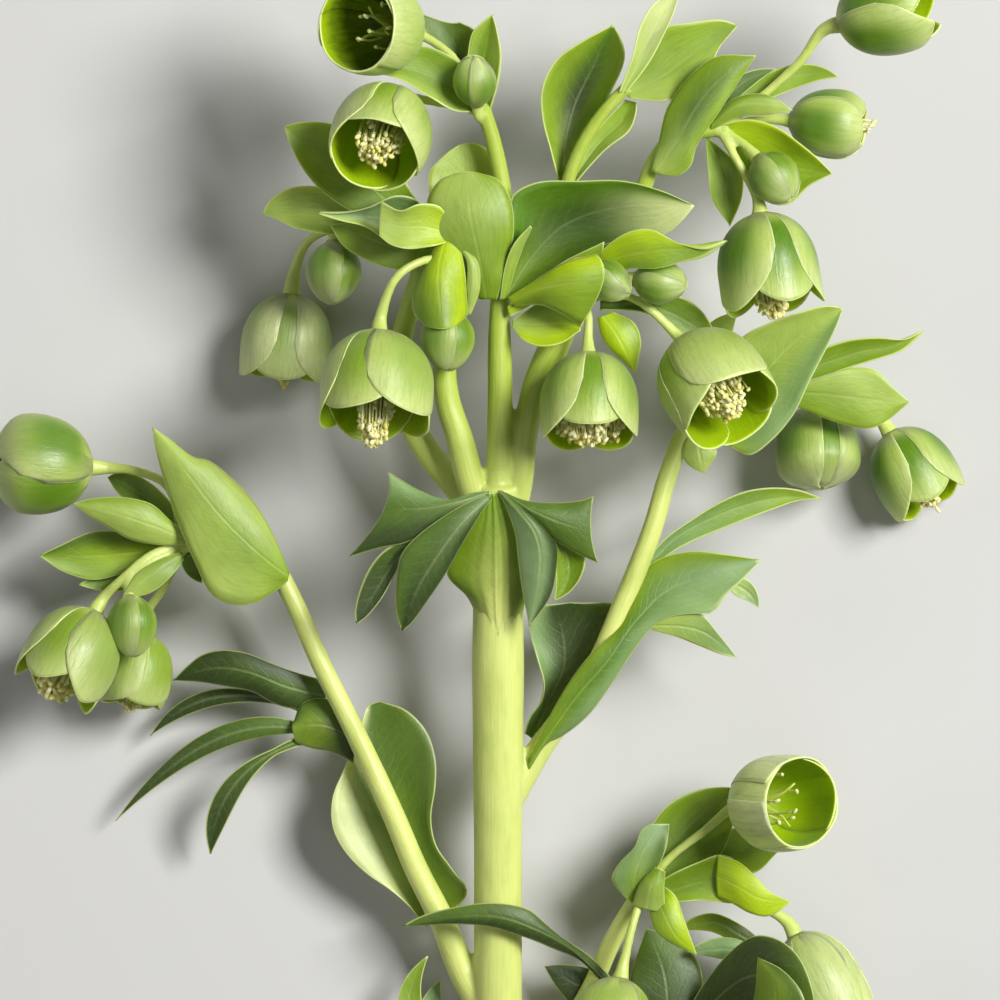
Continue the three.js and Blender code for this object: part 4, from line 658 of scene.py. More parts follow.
        sheet([(26.4, -81, 21), (24, -78.6, 22.5), (22.4, -76, 23.8), (24, -72.8, 24.8),
               (27, -69.6, 25.6), (28.4, -66.2, 25.8), (30, -65, 25.6)],
              [(27, -80.4, 21.4), (27, -76, 24.4), (29, -70.6, 25.8), (32, -65, 25.8)],
              [(27.6, -79.4, 21.6), (29.8, -76.2, 24), (32, -73.2, 25.4), (33.4, -69.6, 25.8),
               (34, -65, 25.4)],
              ("fresh", "bloom", "grey", "green"), wave=0.03),
        blade((27.5, -80, 18), (38, -67.5, 17.5), (47, -58, 18), 15, 0.4, ("yellow", "yellow")),
        blade((27.5, -80.5, 18), (46, -71.5, 17), (56.4, -70.2, 19), 10, 0.3, ("yellow", "fresh"),
              0.6),
        sheet([(31, -80.8, 22), (36, -80.6, 23.8), (41, -80.4, 24.4), (46.4, -81, 24.6)],
              [(30, -79.8, 21.8), (36, -78, 23), (41, -76.6, 23.6), (46.2, -76.4, 24)],
              [(29, -79, 22), (34, -75.4, 24), (40, -72.6, 25), (44, -71.2, 25.4),
               (46.6, -71.8, 25.4)],
              ("yellow", "yellow", "fresh")),
        # bright hood over a stalk
        pointed([(43.6, -79.6, 24.8), (46.6, -81, 25.8), (50, -82.8, 26.4), (54, -83.5, 26.4)],
                [(43.4, -75.4, 25.4), (47.6, -77.4, 28), (52, -79.8, 28), (58.4, -80.7, 26)],
                [(43.8, -71.2, 25.8), (47.6, -72.4, 27.6), (51, -75.2, 28.2), (54, -78.4, 27.6)],
                ("acid", "acid", "acid", "acid"), wave=0.015),
        pointed([(29, -80.6, 22), (30, -83, 23.4), (31, -86.2, 24), (34.6, -89.2, 23.4)],
                [(31, -79, 22.6), (33, -83, 25), (35, -87, 24.8), (39.6, -91.4, 21.6)],
                [(32.8, -77.4, 22.4), (35.2, -79.4, 23.8), (36.6, -83, 24.4), (38, -87, 23.8)],
                ("yellow", "acid", "fresh", "acid")),
        sheet([(26.6, -81.2, 23), (28, -77, 24.8), (31, -73.6, 25.4)],
              [(29.6, -82.2, 24.4), (30.4, -77.6, 26.4), (32.2, -74, 26.2)],
              [(33.2, -82.8, 23.8), (33, -78, 25.4), (33.2, -74.6, 25.6)],
              ("pale", "yellow")),
    ],
}

# ---------------------------------------------------------------- what a user may change


SCREEN_GAMMA = 2.2


def colour(name, description, red, green, blue):
    """A colour property. The three numbers are the shade as a screen shows it, from 0 to 255."""
    linear = [(value / 255) ** SCREEN_GAMMA for value in (red, green, blue)]
    return bpy.props.FloatVectorProperty(name=name, description=description, subtype="COLOR",
                                         size=3, min=0, max=1, default=linear)


def length(name, description, millimetres):
    """A length property."""
    return bpy.props.FloatProperty(name=name, description=description, unit="LENGTH", min=0,
                                   precision=5, default=millimetres * MM)


class HelleboreSizes(bpy.types.PropertyGroup):
    """Thicknesses and distances."""

    blade: length("Blade", "Thickness of a leaf or bract beside its midrib", 0.55)
    rib: length("Midrib", "How far the midrib stands out under a blade", 0.5)
    sepal: length("Sepal", "Thickness of a sepal", 0.5)
    overlap: length("Overlap", "How far a sepal's edge stands over or under the next one", 0.2)
    anther: length("Anther", "Length of the pollen sac at the end of a stamen", 1.6)
    voxel: length("Stem detail", "Size of the cells in which the stems are joined to one skin", 0.5)
    picture: length("Picture", "Width that the camera sees", 200)
    distance: length("Camera distance", "Height of the camera over the flower", 3000)


class HelleboreColours(bpy.types.PropertyGroup):
    """The colours of the plant."""

    acid: colour("Acid green", "Young bracts where light comes through", 174, 200, 8)
    yellow: colour("Yellow green", "Bases of bracts", 116, 146, 8)
    fresh: colour("Fresh green", "Young bracts", 134, 162, 40)
    pale: colour("Pale green", "Bleached bracts and leaf backs", 168, 190, 92)
    white: colour("Whitish green", "The palest bract", 206, 216, 148)
    grey: colour("Grey green", "Bloomy leaf tips", 128, 158, 98)
    bloom: colour("Blue grey", "Thick bloom on bracts", 142, 168, 118)
    green: colour("Leaf green", "Upper leaves", 84, 112, 34)
    dark: colour("Dark green", "Old leaves", 48, 66, 22)
    stem: colour("Stem", "Main stem and lower branches", 208, 216, 120)
    sprig: colour("Sprig", "Upper branches", 166, 186, 62)
    stalk: colour("Stalk", "Thin stalks of bells and buds", 192, 206, 108)
    cut: colour("Cut", "Cut face of the stem", 206, 214, 160)
    sepal: colour("Sepal", "Outside of a bell", 162, 186, 68)
    # A darker copy of the sepal colour: painted shade for the bells that lie in shadow.
    shaded_sepal: colour("Cool sepal", "Outside of the more shaded bells", 142, 166, 56)
    vein: colour("Vein", "Fine veins of the sepals", 104, 140, 44)
    core: colour("Core", "Middle of a sepal's outside", 84, 124, 4)
    # Painted shade for the middle of the large bract, where it lies in a shaded trough.
    trough_shade: colour("Moss", "Depth of the large bracts", 58, 86, 0)
    # The inside's own yellow green, made brighter as painted light that comes through the sepals.
    throat: colour("Throat", "Inside of a bell", 158, 190, 6)
    shade: colour("Shade", "Depth of a bell", 44, 70, 2)
    edge: colour("Edge", "Thin light margin of sepals, bracts and leaves", 230, 242, 160)
    bud: colour("Bud", "Closed bud", 152, 180, 64)
    anther: colour("Anther", "Pollen sacs", 246, 240, 176)
    pollen: colour("Pollen", "Ripe pollen", 218, 204, 84)
    filament: colour("Filament", "Threads of the stamens", 224, 226, 140)
    pod: colour("Pod", "Seed pods and their styles", 176, 196, 64)
    floor: colour("Floor", "Surface that the flower lies on", 196, 195, 192)


def sizes():
    """The sizes, in millimetres."""
    group = bpy.context.scene.hellebore_sizes
    return {name: getattr(group, name) / MM for name in HelleboreSizes.__annotations__}


def colours():
    """The colours, as red, green, blue and full alpha."""
    group = bpy.context.scene.hellebore_colours
    return {name: Vector((*getattr(group, name), 1)) for name in HelleboreColours.__annotations__}


# ---------------------------------------------------------------- geometry tools

LAYERS = {
    # of a sheet: across from -1 to 1, along from 0 to 1, and 1 on its second side
    # of a stem: 1 on its cut face, along from 0 to 1, and 0
    "share": "float_vector",
    # of a sheet: across and along in millimetres, and a number of its own
    # of a stem: its two places across and its place along, in millimetres
    # of a stamen: 1 in the third number of a pollen sac
    "grain": "float_vector",
    # normal of a sheet before it has its thickness
    "facing": "float_vector",
    # base colour
    "tone": "float_color",
}


def start_piece():
    """An empty bmesh with the layers that every piece carries."""
    bm = bmesh.new()
    for name, kind in LAYERS.items():
        getattr(bm.verts.layers, kind).new(name)
    return bm


def layer(bm, name):
    return getattr(bm.verts.layers, LAYERS[name])[name]


def finish_mesh(bm, name):
    """Turns a bmesh in millimetres into a smooth mesh in the frame."""
    bmesh.ops.transform(bm, matrix=TO_FRAME, verts=bm.verts)
    bmesh.ops.recalc_face_normals(bm, faces=bm.faces)
    for face in bm.faces:
        face.smooth = True
    mesh = bpy.data.meshes.new(name)
    bm.to_mesh(mesh)
    bm.free()
    return mesh


def add_piece(mesh, material, node):
    """Puts a finished mesh in the scene in place of a frame node."""
    piece = bpy.data.objects.new(mesh.name, mesh)
    bpy.context.scene.collection.objects.link(piece)
    mesh.materials.append(material)
    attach(piece, "root")
    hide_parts(node)


def eased(low, high, value):
    """0 below low, 1 above high and a smooth step between them."""
    share = min(1, max(0, (value - low) / (high - low)))
    return share * share * (3 - 2 * share)


def grow_sheet(bm, rows, columns, shape, thickness, colour_at, number):
    """Adds a thin closed sheet: a grid that shape(across, along) bends, and a second side under it.

    shape gives a point and its two places on the sheet in millimetres. thickness(across, along) is
    how far the second side lies under the first, and colour_at(across, along, under) the base
    colour of either.
    """
    share, grain, facing, tone = (layer(bm, name) for name in LAYERS)
    grid = bmesh.ops.create_grid(bm, x_segments=columns, y_segments=rows, size=0.5)["verts"]
    for vertex in grid:
        across = math.copysign(abs(2 * vertex.co.x) ** MIDRIB_CROWDING, vertex.co.x)
        along = vertex.co.y + 0.5
        point, beside, beyond = shape(across, along)
        vertex[share] = (across, along, 0)
        vertex[grain] = (beside, beyond, number)
        vertex[tone] = colour_at(across, along, False)
        vertex.co = point
    bmesh.ops.remove_doubles(bm, verts=grid, dist=POLE_GAP)
    grid = [vertex for vertex in grid if vertex.is_valid]
    faces = list(dict.fromkeys(face for vertex in grid for face in vertex.link_faces))
    edges = list(dict.fromkeys(edge for vertex in grid for edge in vertex.link_edges))
    for face in faces:
        face.normal_update()
    for vertex in grid:
        vertex.normal_update()
        vertex[facing] = vertex.normal
    region = grid + edges + faces
    copied = bmesh.ops.extrude_face_region(bm, geom=region, use_keep_orig=True)["geom"]
    under = [item for item in copied if isinstance(item, bmesh.types.BMVert)]
    for vertex in under:
        across, along, _ = vertex[share]
        vertex.co -= vertex[facing] * thickness(across, along)
        vertex[share] = (across, along, 1)
        vertex[tone] = colour_at(across, along, True)


def routed(points, count):
    """A smooth line through the points, as count + 1 evenly spaced ones."""
    points = [Vector(point) for point in points]
    points = [2 * points[0] - points[1], *points, 2 * points[-1] - points[-2]]
    fine = []
    for a, b, c, d in zip(points, points[1:], points[2:], points[3:]):
        before, here, after = ((q - p).length ** 0.5 for p, q in ((a, b), (b, c), (c, d)))
        leave = ((b - a) / before - (c - a) / (before + here) + (c - b) / here) * here
        arrive = ((c - b) / here - (d - b) / (here + after) + (d - c) / after) * here
        for step in range(CURVE_STEPS):
            t = step / CURVE_STEPS
            fine.append(b + leave * t + (3 * (c - b) - 2 * leave - arrive) * t ** 2
                        + (2 * (b - c) + leave + arrive) * t ** 3)
    fine.append(points[-2])
    lengths = [0]
    for p, q in zip(fine, fine[1:]):
        lengths.append(lengths[-1] + (q - p).length)
    even, index = [], 0
    for step in range(count + 1):
        goal = lengths[-1] * step / count
        while index < len(fine) - 2 and lengths[index + 1] < goal:
            index += 1
        part = (goal - lengths[index]) / (lengths[index + 1] - lengths[index])
        even.append(fine[index].lerp(fine[index + 1], part))
    return even


def along_list(values, share):
    """Value of an evenly spaced list of numbers at a share of its length."""
    place = share * (len(values) - 1)
    index = min(int(place), len(values) - 2)
    return values[index] + (values[index + 1] - values[index]) * (place - index)


def ring_places(centres, radii):
    """For each centre, the matrix that lays a unit circle there, square to the line."""
    places = []
    rotation = Vector(UP).rotation_difference(centres[1] - centres[0])
    heading = (centres[1] - centres[0]).normalized()
    for index, centre in enumerate(centres):
        ahead = centres[min(index + 1, len(centres) - 1)] - centres[max(index - 1, 0)]
        rotation = heading.rotation_difference(ahead) @ rotation
        heading = ahead.normalized()
        places.append(Matrix.LocRotScale(centre, rotation, Vector.Fill(3, radii[index])))
    return places


def grow_tube(bm, centres, radii, sides):
    """Adds a closed tube: a circle that is extruded from centre to centre."""
    places = ring_places(centres, radii)
    ring = bmesh.ops.create_circle(bm, segments=sides, radius=1, matrix=places[0])["verts"]
    made = list(ring)
    edges = list(dict.fromkeys(edge for vertex in ring for edge in vertex.link_edges))
    ends = list(edges)
    for before, place in zip(places, places[1:]):
        grown = bmesh.ops.extrude_edge_only(bm, edges=edges)["geom"]
        ring = [item for item in grown if isinstance(item, bmesh.types.BMVert)]
        fresh = set(ring)
        edges = [item for item in grown
                 if isinstance(item, bmesh.types.BMEdge) and fresh.issuperset(item.verts)]
        bmesh.ops.transform(bm, matrix=place @ before.inverted(), verts=ring)
        made += ring
    bmesh.ops.edgeloop_fill(bm, edges=ends)
    bmesh.ops.edgeloop_fill(bm, edges=edges)
    return made


# ---------------------------------------------------------------- forms of the plant


def blade_shape(leaf):
    """The bend of a simple blade, as a function of across and along."""
    base, mid, tip = (Vector(leaf[name]) for name in ("base", "mid", "tip"))
    bow = 2 * mid - (base + tip) / 2
    reach = (mid - base).length + (tip - mid).length
    power = math.log(0.5) / math.log(leaf["peak"])
    wide, curl = leaf["wide"], leaf["curl"]

    def shape(across, along):
        point = base * (1 - along) ** 2 + bow * (2 * along * (1 - along)) + tip * along ** 2
        heading = ((bow - base) * (1 - along) + (tip - bow) * along).normalized()
        side = heading.cross(Vector(UP)).normalized()
        normal = side.cross(heading)
        outline = max(0, math.sin(math.pi * along ** power)) ** leaf["blunt"]
        half = max(0.5 * wide * outline, BLADE_FOOT * wide * (1 - along) ** 2, BLADE_LEAST)
        angle = across * curl
        rise = half * (1 - math.cos(angle)) / curl + margin_wave(leaf, across, along) * outline
        point += side * (half * math.sin(angle) / curl) + normal * rise
        return point, across * half, along * reach

    return shape


def sheet_shape(leaf):
    """The bend of a freely shaped blade: each cross-section is a parabola through its lines."""
    rails = [routed(leaf[name], RAIL_STEPS) for name in ("left", "middle", "right")]
    reach = sum((q - p).length for p, q in zip(rails[1], rails[1][1:]))

    def shape(across, along):
        left, middle, right = (along_list(rail, along) for rail in rails)
        point = (left * (across * (across - 1) / 2) + middle * (1 - across ** 2)
                 + right * (across * (across + 1) / 2))
        heading = (along_list(rails[1], min(1, along + HEADING_STEP))
                   - along_list(rails[1], max(0, along - HEADING_STEP)))
        chord = right - left
        normal = chord.cross(heading)
        if normal.length > 0:
            fade = min(1, chord.length / (0.5 * leaf["wide"]))
            pleats = leaf["pleats"]
            ridge = PLEAT_DEPTH * math.cos(2 * math.pi * pleats * across) if pleats else 0
            point += normal.normalized() * (margin_wave(leaf, across, along) + ridge) * fade
        return point, across * chord.length / 2, along * reach

    return shape


def margin_wave(leaf, across, along):
    """How far a blade's margin swings up or down there, in millimetres."""
    start = leaf["tip"][0] if "tip" in leaf else leaf["middle"][-1][0]
    other_edge = 2.1 if across > 0 else 0
    swing = math.sin(8 * along + other_edge + start) + 0.5 * math.sin(17 * along + 3 * start)
    return leaf["wave"] * leaf["wide"] * swing * abs(across) ** 2


def grow_blade(bm, leaf, number, size, palette):
    """Adds one blade with its midrib standing out below."""
    tones = [palette.get(name) for name in leaf["tones"]]
    base, tip, left, right, half = (*tones, None, None, None)[:5]
    wide = leaf["wide"]

    def thickness(across, along):
        rib = math.exp(-((across * wide / RIB_WIDTH) ** 2)) * (1 - 0.8 * along)
        return size["blade"] * (1 - 0.6 * abs(across) ** 4) * (1 - 0.4 * along) + size["rib"] * rib

    def tone(across, along, under):
        if half:
            shown = base.lerp(half, eased(0, 0.5, along)).lerp(tip, eased(0.5, 1, along))
        else:
            shown = base.lerp(tip, eased(0, 1, along))
        edge = left if across < 0 else right
        if edge:
            shown = shown.lerp(edge, eased(0.05, 0.85, abs(across)) * eased(0, 0.25, along))
        return shown.lerp(palette["pale"], BACK_PALENESS) if under else shown

    shape = sheet_shape(leaf) if "left" in leaf else blade_shape(leaf)
    grow_sheet(bm, BLADE_ROWS, BLADE_COLUMNS, shape, thickness, tone, number)


def planted(form):
    """The matrix that takes a shape made along +Y, its +Z side up, to its neck and axis."""
    tilt = Vector(form["axis"]).to_track_quat("Y", "Z").to_matrix().to_4x4()
    return Matrix.Translation(form["neck"]) @ tilt @ Matrix.Rotation(form.get("turn", 0), 4, "Y")


def bell_radius(share, close):
    """Outer radius of a bell, as a share of its half width, from the neck (0) to the mouth (1)."""
    if share < BELL_WIDEST:
        return (1 - ((BELL_WIDEST - share) / BELL_WIDEST) ** 2) ** SHOULDER_FULLNESS
    return 1 - close * ((share - BELL_WIDEST) / (1 - BELL_WIDEST)) ** (2 + 1.4 * close)


def sepal_shape(form, index, radius_at, size):
    """The bend of one sepal of a bell or bud, as a function of across and along."""
    long, lobes, sharp = form["long"], form["lobes"], form["point"]
    middle = (index + 0.5) * 2 * math.pi / SEPAL_COUNT
    left, right = EDGE_LAYERS[index]

    def shape(across, along):
        taper = max(0, 1 - abs(across) ** (2.6 - 1.1 * sharp)) ** (0.5 + 0.1 * sharp)
        end = lobes + (1 - lobes) * taper
        share = along * end
        side = right if across > 0 else left
        layer_out = side * eased(0.05, 0.55, abs(across)) * size["overlap"]
        phase = 3 * across + 2.1 * index + form["neck"][0]
        ruffle = SEPAL_RUFFLE * math.sin(phase) * share ** 3
        radius = radius_at(share) + layer_out * eased(0, 0.3, share) + ruffle
        angle = middle + across * SEPAL_HALF_ANGLE + SEPAL_LEAN * share
        point = Vector((radius * math.sin(angle), share * long, radius * math.cos(angle)))
        return point, across * SEPAL_HALF_ANGLE * radius, share * long

    return shape


def grow_sepals(bm, form, radius_at, names, size, palette):
    """Adds five overlapping sepals round the axis of a bell or bud.

    names are the colours at the neck, over the rest, and of what lies outside and underneath.
    """
    neck, body, outside, inside = (palette[name] for name in names)

    def thickness(across, along):
        return size["sepal"] * (1 - 0.45 * abs(across) ** 4) * (1 - 0.35 * along ** 4)

    for index, layers in enumerate(EDGE_LAYERS):
        mark = outside if sum(layers) > 0 else inside

        def tone(across, along, under, mark=mark):
            # Inside: the throat colour, brightened as painted light coming through the sepals, with
            # painted shade mixed in deep in the bell by dim.
            if under:
                depth = form["dim"] * (1 - eased(0.7, 1, along))
                return palette["throat"].lerp(palette["shade"], depth)
            # Green middle of the outside: partly the sepal's own colour and partly painted shade,
            # as deep sets it for each bell.
            core = form["deep"] * (1 - eased(0.2, 0.9, abs(across))) * (1 - eased(0.4, 1, along))
            # Paler towards the mouth: partly the sepal's own colour and partly painted highlight.
            skin = body.lerp(mark, 0.3).lerp(palette["white"], 0.5 * eased(0.5, 1, along))
            return neck.lerp(skin.lerp(palette["core"], core), eased(0, 0.2, along))

        shape = sepal_shape(form, index, radius_at, size)
        grow_sheet(bm, SEPAL_ROWS, SEPAL_COLUMNS, shape, thickness, tone, index + form["neck"][0])


def grow_bell(bm, flower, size, palette):
    """Adds the five sepals of a bell."""
    half = flower["across"] / 2

    def radius_at(share):
        least = NECK_RADIUS if share < BELL_WIDEST else TIP_RADIUS
        return max(half * bell_radius(share, flower["close"]), least)

    grow_sepals(bm, flower, radius_at, ("stalk", flower["tone"], "white", "fresh"), size, palette)
    bmesh.ops.transform(bm, matrix=planted(flower), verts=bm.verts)


def grow_bud(bm, form, size, palette):
    """Adds a closed bud: five sepals wrapped over an egg, which fills the gaps between them."""
    half = form["across"] / 2
    wrapped = dict(form, lobes=0.9, point=0, deep=0.8, dim=0)
    close_size = dict(size, overlap=BUD_OVERLAP * size["overlap"])

    def radius_at(share):
        return half * max(0.02, math.sin(math.pi * max(share, 0.03) ** 0.92)) ** 0.55

    grow_sepals(bm, wrapped, radius_at, ("stalk", "bud", "white", "bud"), close_size, palette)
    egg = bmesh.ops.create_uvsphere(bm, u_segments=24, v_segments=16, radius=1)["verts"]
    tone_layer, share = layer(bm, "tone"), layer(bm, "share")
    for vertex in egg:
        vertex[tone_layer] = palette["bud"]
        vertex[share] = (0, 0.5 + 0.5 * vertex.co.z, 0)
    inner = half - size["sepal"] * 0.8
    bmesh.ops.rotate(bm, cent=(0, 0, 0), matrix=Matrix.Rotation(-math.pi / 2, 3, "X"), verts=egg)
    bmesh.ops.scale(bm, vec=(inner, form["long"] * EGG_HALF_LENGTH, inner), verts=egg)
    bmesh.ops.translate(bm, vec=(0, form["long"] * EGG_MIDDLE, 0), verts=egg)
    bmesh.ops.transform(bm, matrix=planted(form), verts=bm.verts)


def tint(bm, vertices, tone, number=0.0):
    """Gives vertices one base colour."""
    tone_layer, grain = layer(bm, "tone"), layer(bm, "grain")
    for vertex in vertices:
        vertex[tone_layer] = tone
        vertex[grain] = (0, 0, number)


def grow_stamens(bm, flower, size, palette):
    """Adds the seat in a bell's floor, its threads with their pollen sacs, and its pods."""
    draw = Random(int(1000 + 10 * flower["neck"][0]))
    long, reach, spread = flower["long"], flower["reach"], flower["spread"]
    few = flower["stamens"] < FEW_STAMENS
    bare = few and spread > BARE_SPREAD
    foot = SEAT_HEIGHT * long
    seat = routed(((0, 0.3, 0), (0, foot + 0.4, 0)), len(SEAT_RADII) - 1)
    tint(bm, grow_tube(bm, seat, SEAT_RADII, 12), palette["pod"])
    for index in range(flower["stamens"]):
        ring = ((index + 0.5) / flower["stamens"]) ** 0.5
        angle = STAMEN_TURN * index + draw.uniform(-0.2, 0.2)
        outward = Vector((math.sin(angle), 0, math.cos(angle)))
        height = long * reach * (1 - 0.14 * ring ** 2) - (0.5 + 5.5 * ring) * draw.random()
        base = outward * (1.1 + 0.6 * ring) + Vector((0, foot, 0))
        top = outward * (spread * ring * draw.uniform(0.85, 1.1)) + Vector((0, height, 0))
        knee = (base + top) / 2 + outward * (0.35 * spread * ring)
        radius = STOUT_RADIUS if few else THREAD_RADIUS
        thread = grow_tube(bm, routed((base, knee, top), 6), [radius] * 7, 6)
        tint(bm, thread, palette["filament"])
        sac = bmesh.ops.create_icosphere(bm, subdivisions=2, radius=1)["verts"]
        ripe = palette["anther"].lerp(palette["pollen"], draw.random() ** 2)
        tint(bm, sac, ripe.lerp(palette["filament"], 0.6) if bare else ripe, 1.0)
        half_sizes = (BARE_WIDTH if bare else SAC_WIDTH, 0.5 * size["anther"], SAC_DEPTH)
        bmesh.ops.scale(bm, vec=half_sizes, verts=sac)
        tilts = [Matrix.Rotation(draw.uniform(-SAC_TILT, SAC_TILT), 4, name) for name in "XZ"]
        tilt = tilts[0] @ tilts[1]
        spin = Matrix.Rotation(draw.uniform(0, math.pi), 4, "Y")
        bmesh.ops.transform(bm, matrix=Matrix.Translation(top) @ tilt @ spin, verts=sac)
    for index in range(POD_COUNT):
        angle = 2 * math.pi * index / POD_COUNT + 0.4
        outward = Vector((math.sin(angle), 0, math.cos(angle)))
        heights = (0.12, 0.36, 0.56, 0.66) if bare else (0.12, 0.4, 0.62, 0.86 * min(reach, 1))
        leans = (0.5, 1.4, 0.45 * spread, 0.85 * spread) if bare else (0.5, 1.1, 0.9, 0.3 * spread)
        points = [outward * lean + Vector((0, share * long, 0))
                  for lean, share in zip(leans, heights)]
        radii = [along_list(POD_RADII, step / 9) for step in range(10)]
        tint(bm, grow_tube(bm, routed(points, 9), radii, 8), palette["pod"])
    bmesh.ops.transform(bm, matrix=planted(flower), verts=bm.verts)


def stalk_route(form):
    """The stalk of a bell or bud: it leaves the stem and runs straight into the neck."""
    neck, heading = Vector(form["neck"]), Vector(form["axis"]).normalized()
    return [*form["stalk"], neck - heading * NECK_APPROACH, neck + heading * NECK_JOIN]


def stem_lines():
    """Every stem and stalk as its centres, radii and the name of its colour."""
    lines = []
    for route, radii in STEMS:
        lines.append((route, radii, "stem"))
    for form in FLOWERS + BUDS:
        end = STALK_END[0] + STALK_END[1] * min(1, form["across"] / LARGE_BELL)
        radii = [STALK_RADIUS * share for share in (*STALK_SWELLS, end)]
        lines.append((stalk_route(form), radii, "stalk"))
    made = []
    for route, radii, tone in lines:
        rough = sum((Vector(q) - Vector(p)).length for p, q in zip(route, route[1:]))
        count = max(6, round(rough / STEM_STEP))
        centres = routed(route, count)
        made.append((centres, [along_list(radii, k / count) for k in range(count + 1)], tone))
    return made


def joined_skin(mesh, cell):
    """One closed skin round all the solids of a mesh, in cells of the given size, smoothed."""
    rough = bpy.data.objects.new("rough_" + mesh.name, mesh)
    bpy.context.scene.collection.objects.link(rough)
    remesh = rough.modifiers.new("Skin", "REMESH")
    remesh.mode = "VOXEL"
    remesh.voxel_size = cell
    smooth = rough.modifiers.new("Smooth", "SMOOTH")
    smooth.factor = 0.5
    smooth.iterations = SKIN_SMOOTHING
    evaluated = rough.evaluated_get(bpy.context.evaluated_depsgraph_get())
    skin = bpy.data.meshes.new_from_object(evaluated)
    bpy.data.objects.remove(rough)
    bpy.data.meshes.remove(mesh)
    return skin


def paint_stem(skin, lines, palette):
    """Gives each point of the stem skin the colour of its stem and its place round and along it."""
    bm = start_piece()
    bm.from_mesh(skin)
    share, grain, _, tone = (layer(bm, name) for name in LAYERS)
    samples = [(line, index) for line, (centres, _, _) in enumerate(lines)
               for index in range(len(centres))]
    places = [ring_places(centres, radii) for centres, radii, _ in lines]
    tree = KDTree(len(samples))
    for number, (line, index) in enumerate(samples):
        tree.insert(TO_FRAME @ lines[line][0][index], number)
    tree.balance()
    main_end = TO_FRAME @ lines[0][0][0]
    heading = (lines[0][0][1] - lines[0][0][0]).normalized()

    def nearness(found):
        """Distance of a found sample, in radii of its stem there."""
        line, index = samples[found[1]]
        return found[2] / lines[line][1][index]

    for vertex in bm.verts:
        _, number, _ = min(tree.find_n(vertex.co, 4), key=nearness)
        line, index = samples[number]
        centres, radii, name = lines[line]
        local = places[line][index].inverted() @ (TO_FRAME.inverted() @ vertex.co)
        along = index + local.z * radii[index] / STEM_STEP
        beyond = along * STEM_STEP + GRAIN_SHIFT * line
        vertex[grain] = (local.x * radii[index], local.y * radii[index], beyond)
        vertex[share] = (0, along / (len(centres) - 1), 0)
        place = (TO_FRAME.inverted() @ vertex.co).y
        greener = eased(SPRIG_START, SPRIG_END, place) if name == "stem" else 0
        vertex[tone] = palette[name].lerp(palette["sprig"], greener)
        at_end = (vertex.co - main_end).length < CUT_REACH * MM
        if at_end and vertex.normal.dot(heading) < -0.8:
            vertex[tone] = palette["cut"]
            vertex[share] = (1, 0, 0)
    bm.to_mesh(skin)
    bm.free()


# ---------------------------------------------------------------- finishes


class Value:
    """A socket's output, with arithmetic that adds Math nodes."""

    def __init__(self, finish, socket):
        self.finish = finish
        self.socket = socket

    def _math(self, operation, first, second=None):
        values = [first] if second is None else [first, second]
        return self.finish.add("Math", values, {"operation": operation})

    def __add__(self, other):
        return self._math("ADD", self, other)

    def __sub__(self, other):
        return self._math("SUBTRACT", self, other)

    def __rsub__(self, other):
        return self._math("SUBTRACT", other, self)

    def __mul__(self, other):
        return self._math("MULTIPLY", self, other)

    def __pow__(self, other):
        return self._math("POWER", self, other)

    __radd__ = __add__
    __rmul__ = __mul__

    def size(self):
        return self._math("ABSOLUTE", self)

    def part(self):
        return self._math("FRACT", self)

    def step(self, low, high):
        """0 below low, 1 above high and a smooth step between them."""
        inputs = {"Value": self, "From Min": low, "From Max": high}
        return self.finish.add("MapRange", inputs, {"interpolation_type": "SMOOTHSTEP"})


class Finish:
    """A material and the few ways in which its nodes are added."""

    def __init__(self, name):
        self.material = bpy.data.materials.new(name)
        self.material.use_nodes = True
        self.tree = self.material.node_tree
        self.tree.nodes.clear()

    def add(self, kind, inputs, settings=None, output=""):
        """Adds a node: its settings, then its inputs by name, or in order where names repeat."""
        made = self.tree.nodes.new("ShaderNode" + kind)
        for name, value in (settings or {}).items():
            setattr(made, name, value)
        shown = [socket for socket in made.inputs if socket.enabled]
        if isinstance(inputs, dict):
            named = {socket.name: socket for socket in reversed(shown)}
            pairs = [(named[name], value) for name, value in inputs.items()]
        else:
            pairs = zip(shown, inputs)
        for socket, value in pairs:
            if isinstance(value, Value):
                self.tree.links.new(value.socket, socket)
            else:
                socket.default_value = value
        outputs = [socket for socket in made.outputs
                   if socket.enabled and output in ("", socket.name)]
        return Value(self, outputs[0]) if outputs else None

    def attribute(self, name, output="Vector"):
        return self.add("Attribute", {}, {"attribute_name": name}, output)

    def split(self, vector):
        """The three numbers of a vector."""
        parts = self.add("SeparateXYZ", {"Vector": vector})
        return [Value(self, socket) for socket in parts.socket.node.outputs]

    def vector(self, x, y, z):
        return self.add("CombineXYZ", [x, y, z])

    def noise(self, vector, scale, detail=3.0, roughness=0.5):
        inputs = {"Vector": vector, "Scale": scale, "Detail": detail, "Roughness": roughness}
        return self.add("TexNoise", inputs)

    def cells(self, vector, scale):
        """Distance to the edges of a net of cells."""
        settings = {"feature": "DISTANCE_TO_EDGE"}
        return self.add("TexVoronoi", {"Vector": vector, "Scale": scale}, settings)

    def mix(self, factor, first, second, blend="MIX"):
        settings = {"data_type": "RGBA", "blend_type": blend}
        return self.add("Mix", {"Factor": factor, "A": first, "B": second}, settings)

    def bump(self, height, strength, distance=0.0002):
        return self.add("Bump", {"Height": height, "Distance": distance, "Strength": strength})

    def surface(self, varying, constant):
        """The shader itself: what varies over the surface, and what is the same all over it."""
        shader = self.add("BsdfPrincipled", {**constant, **varying})
        self.add("OutputMaterial", {"Surface": shader})
        return self.material


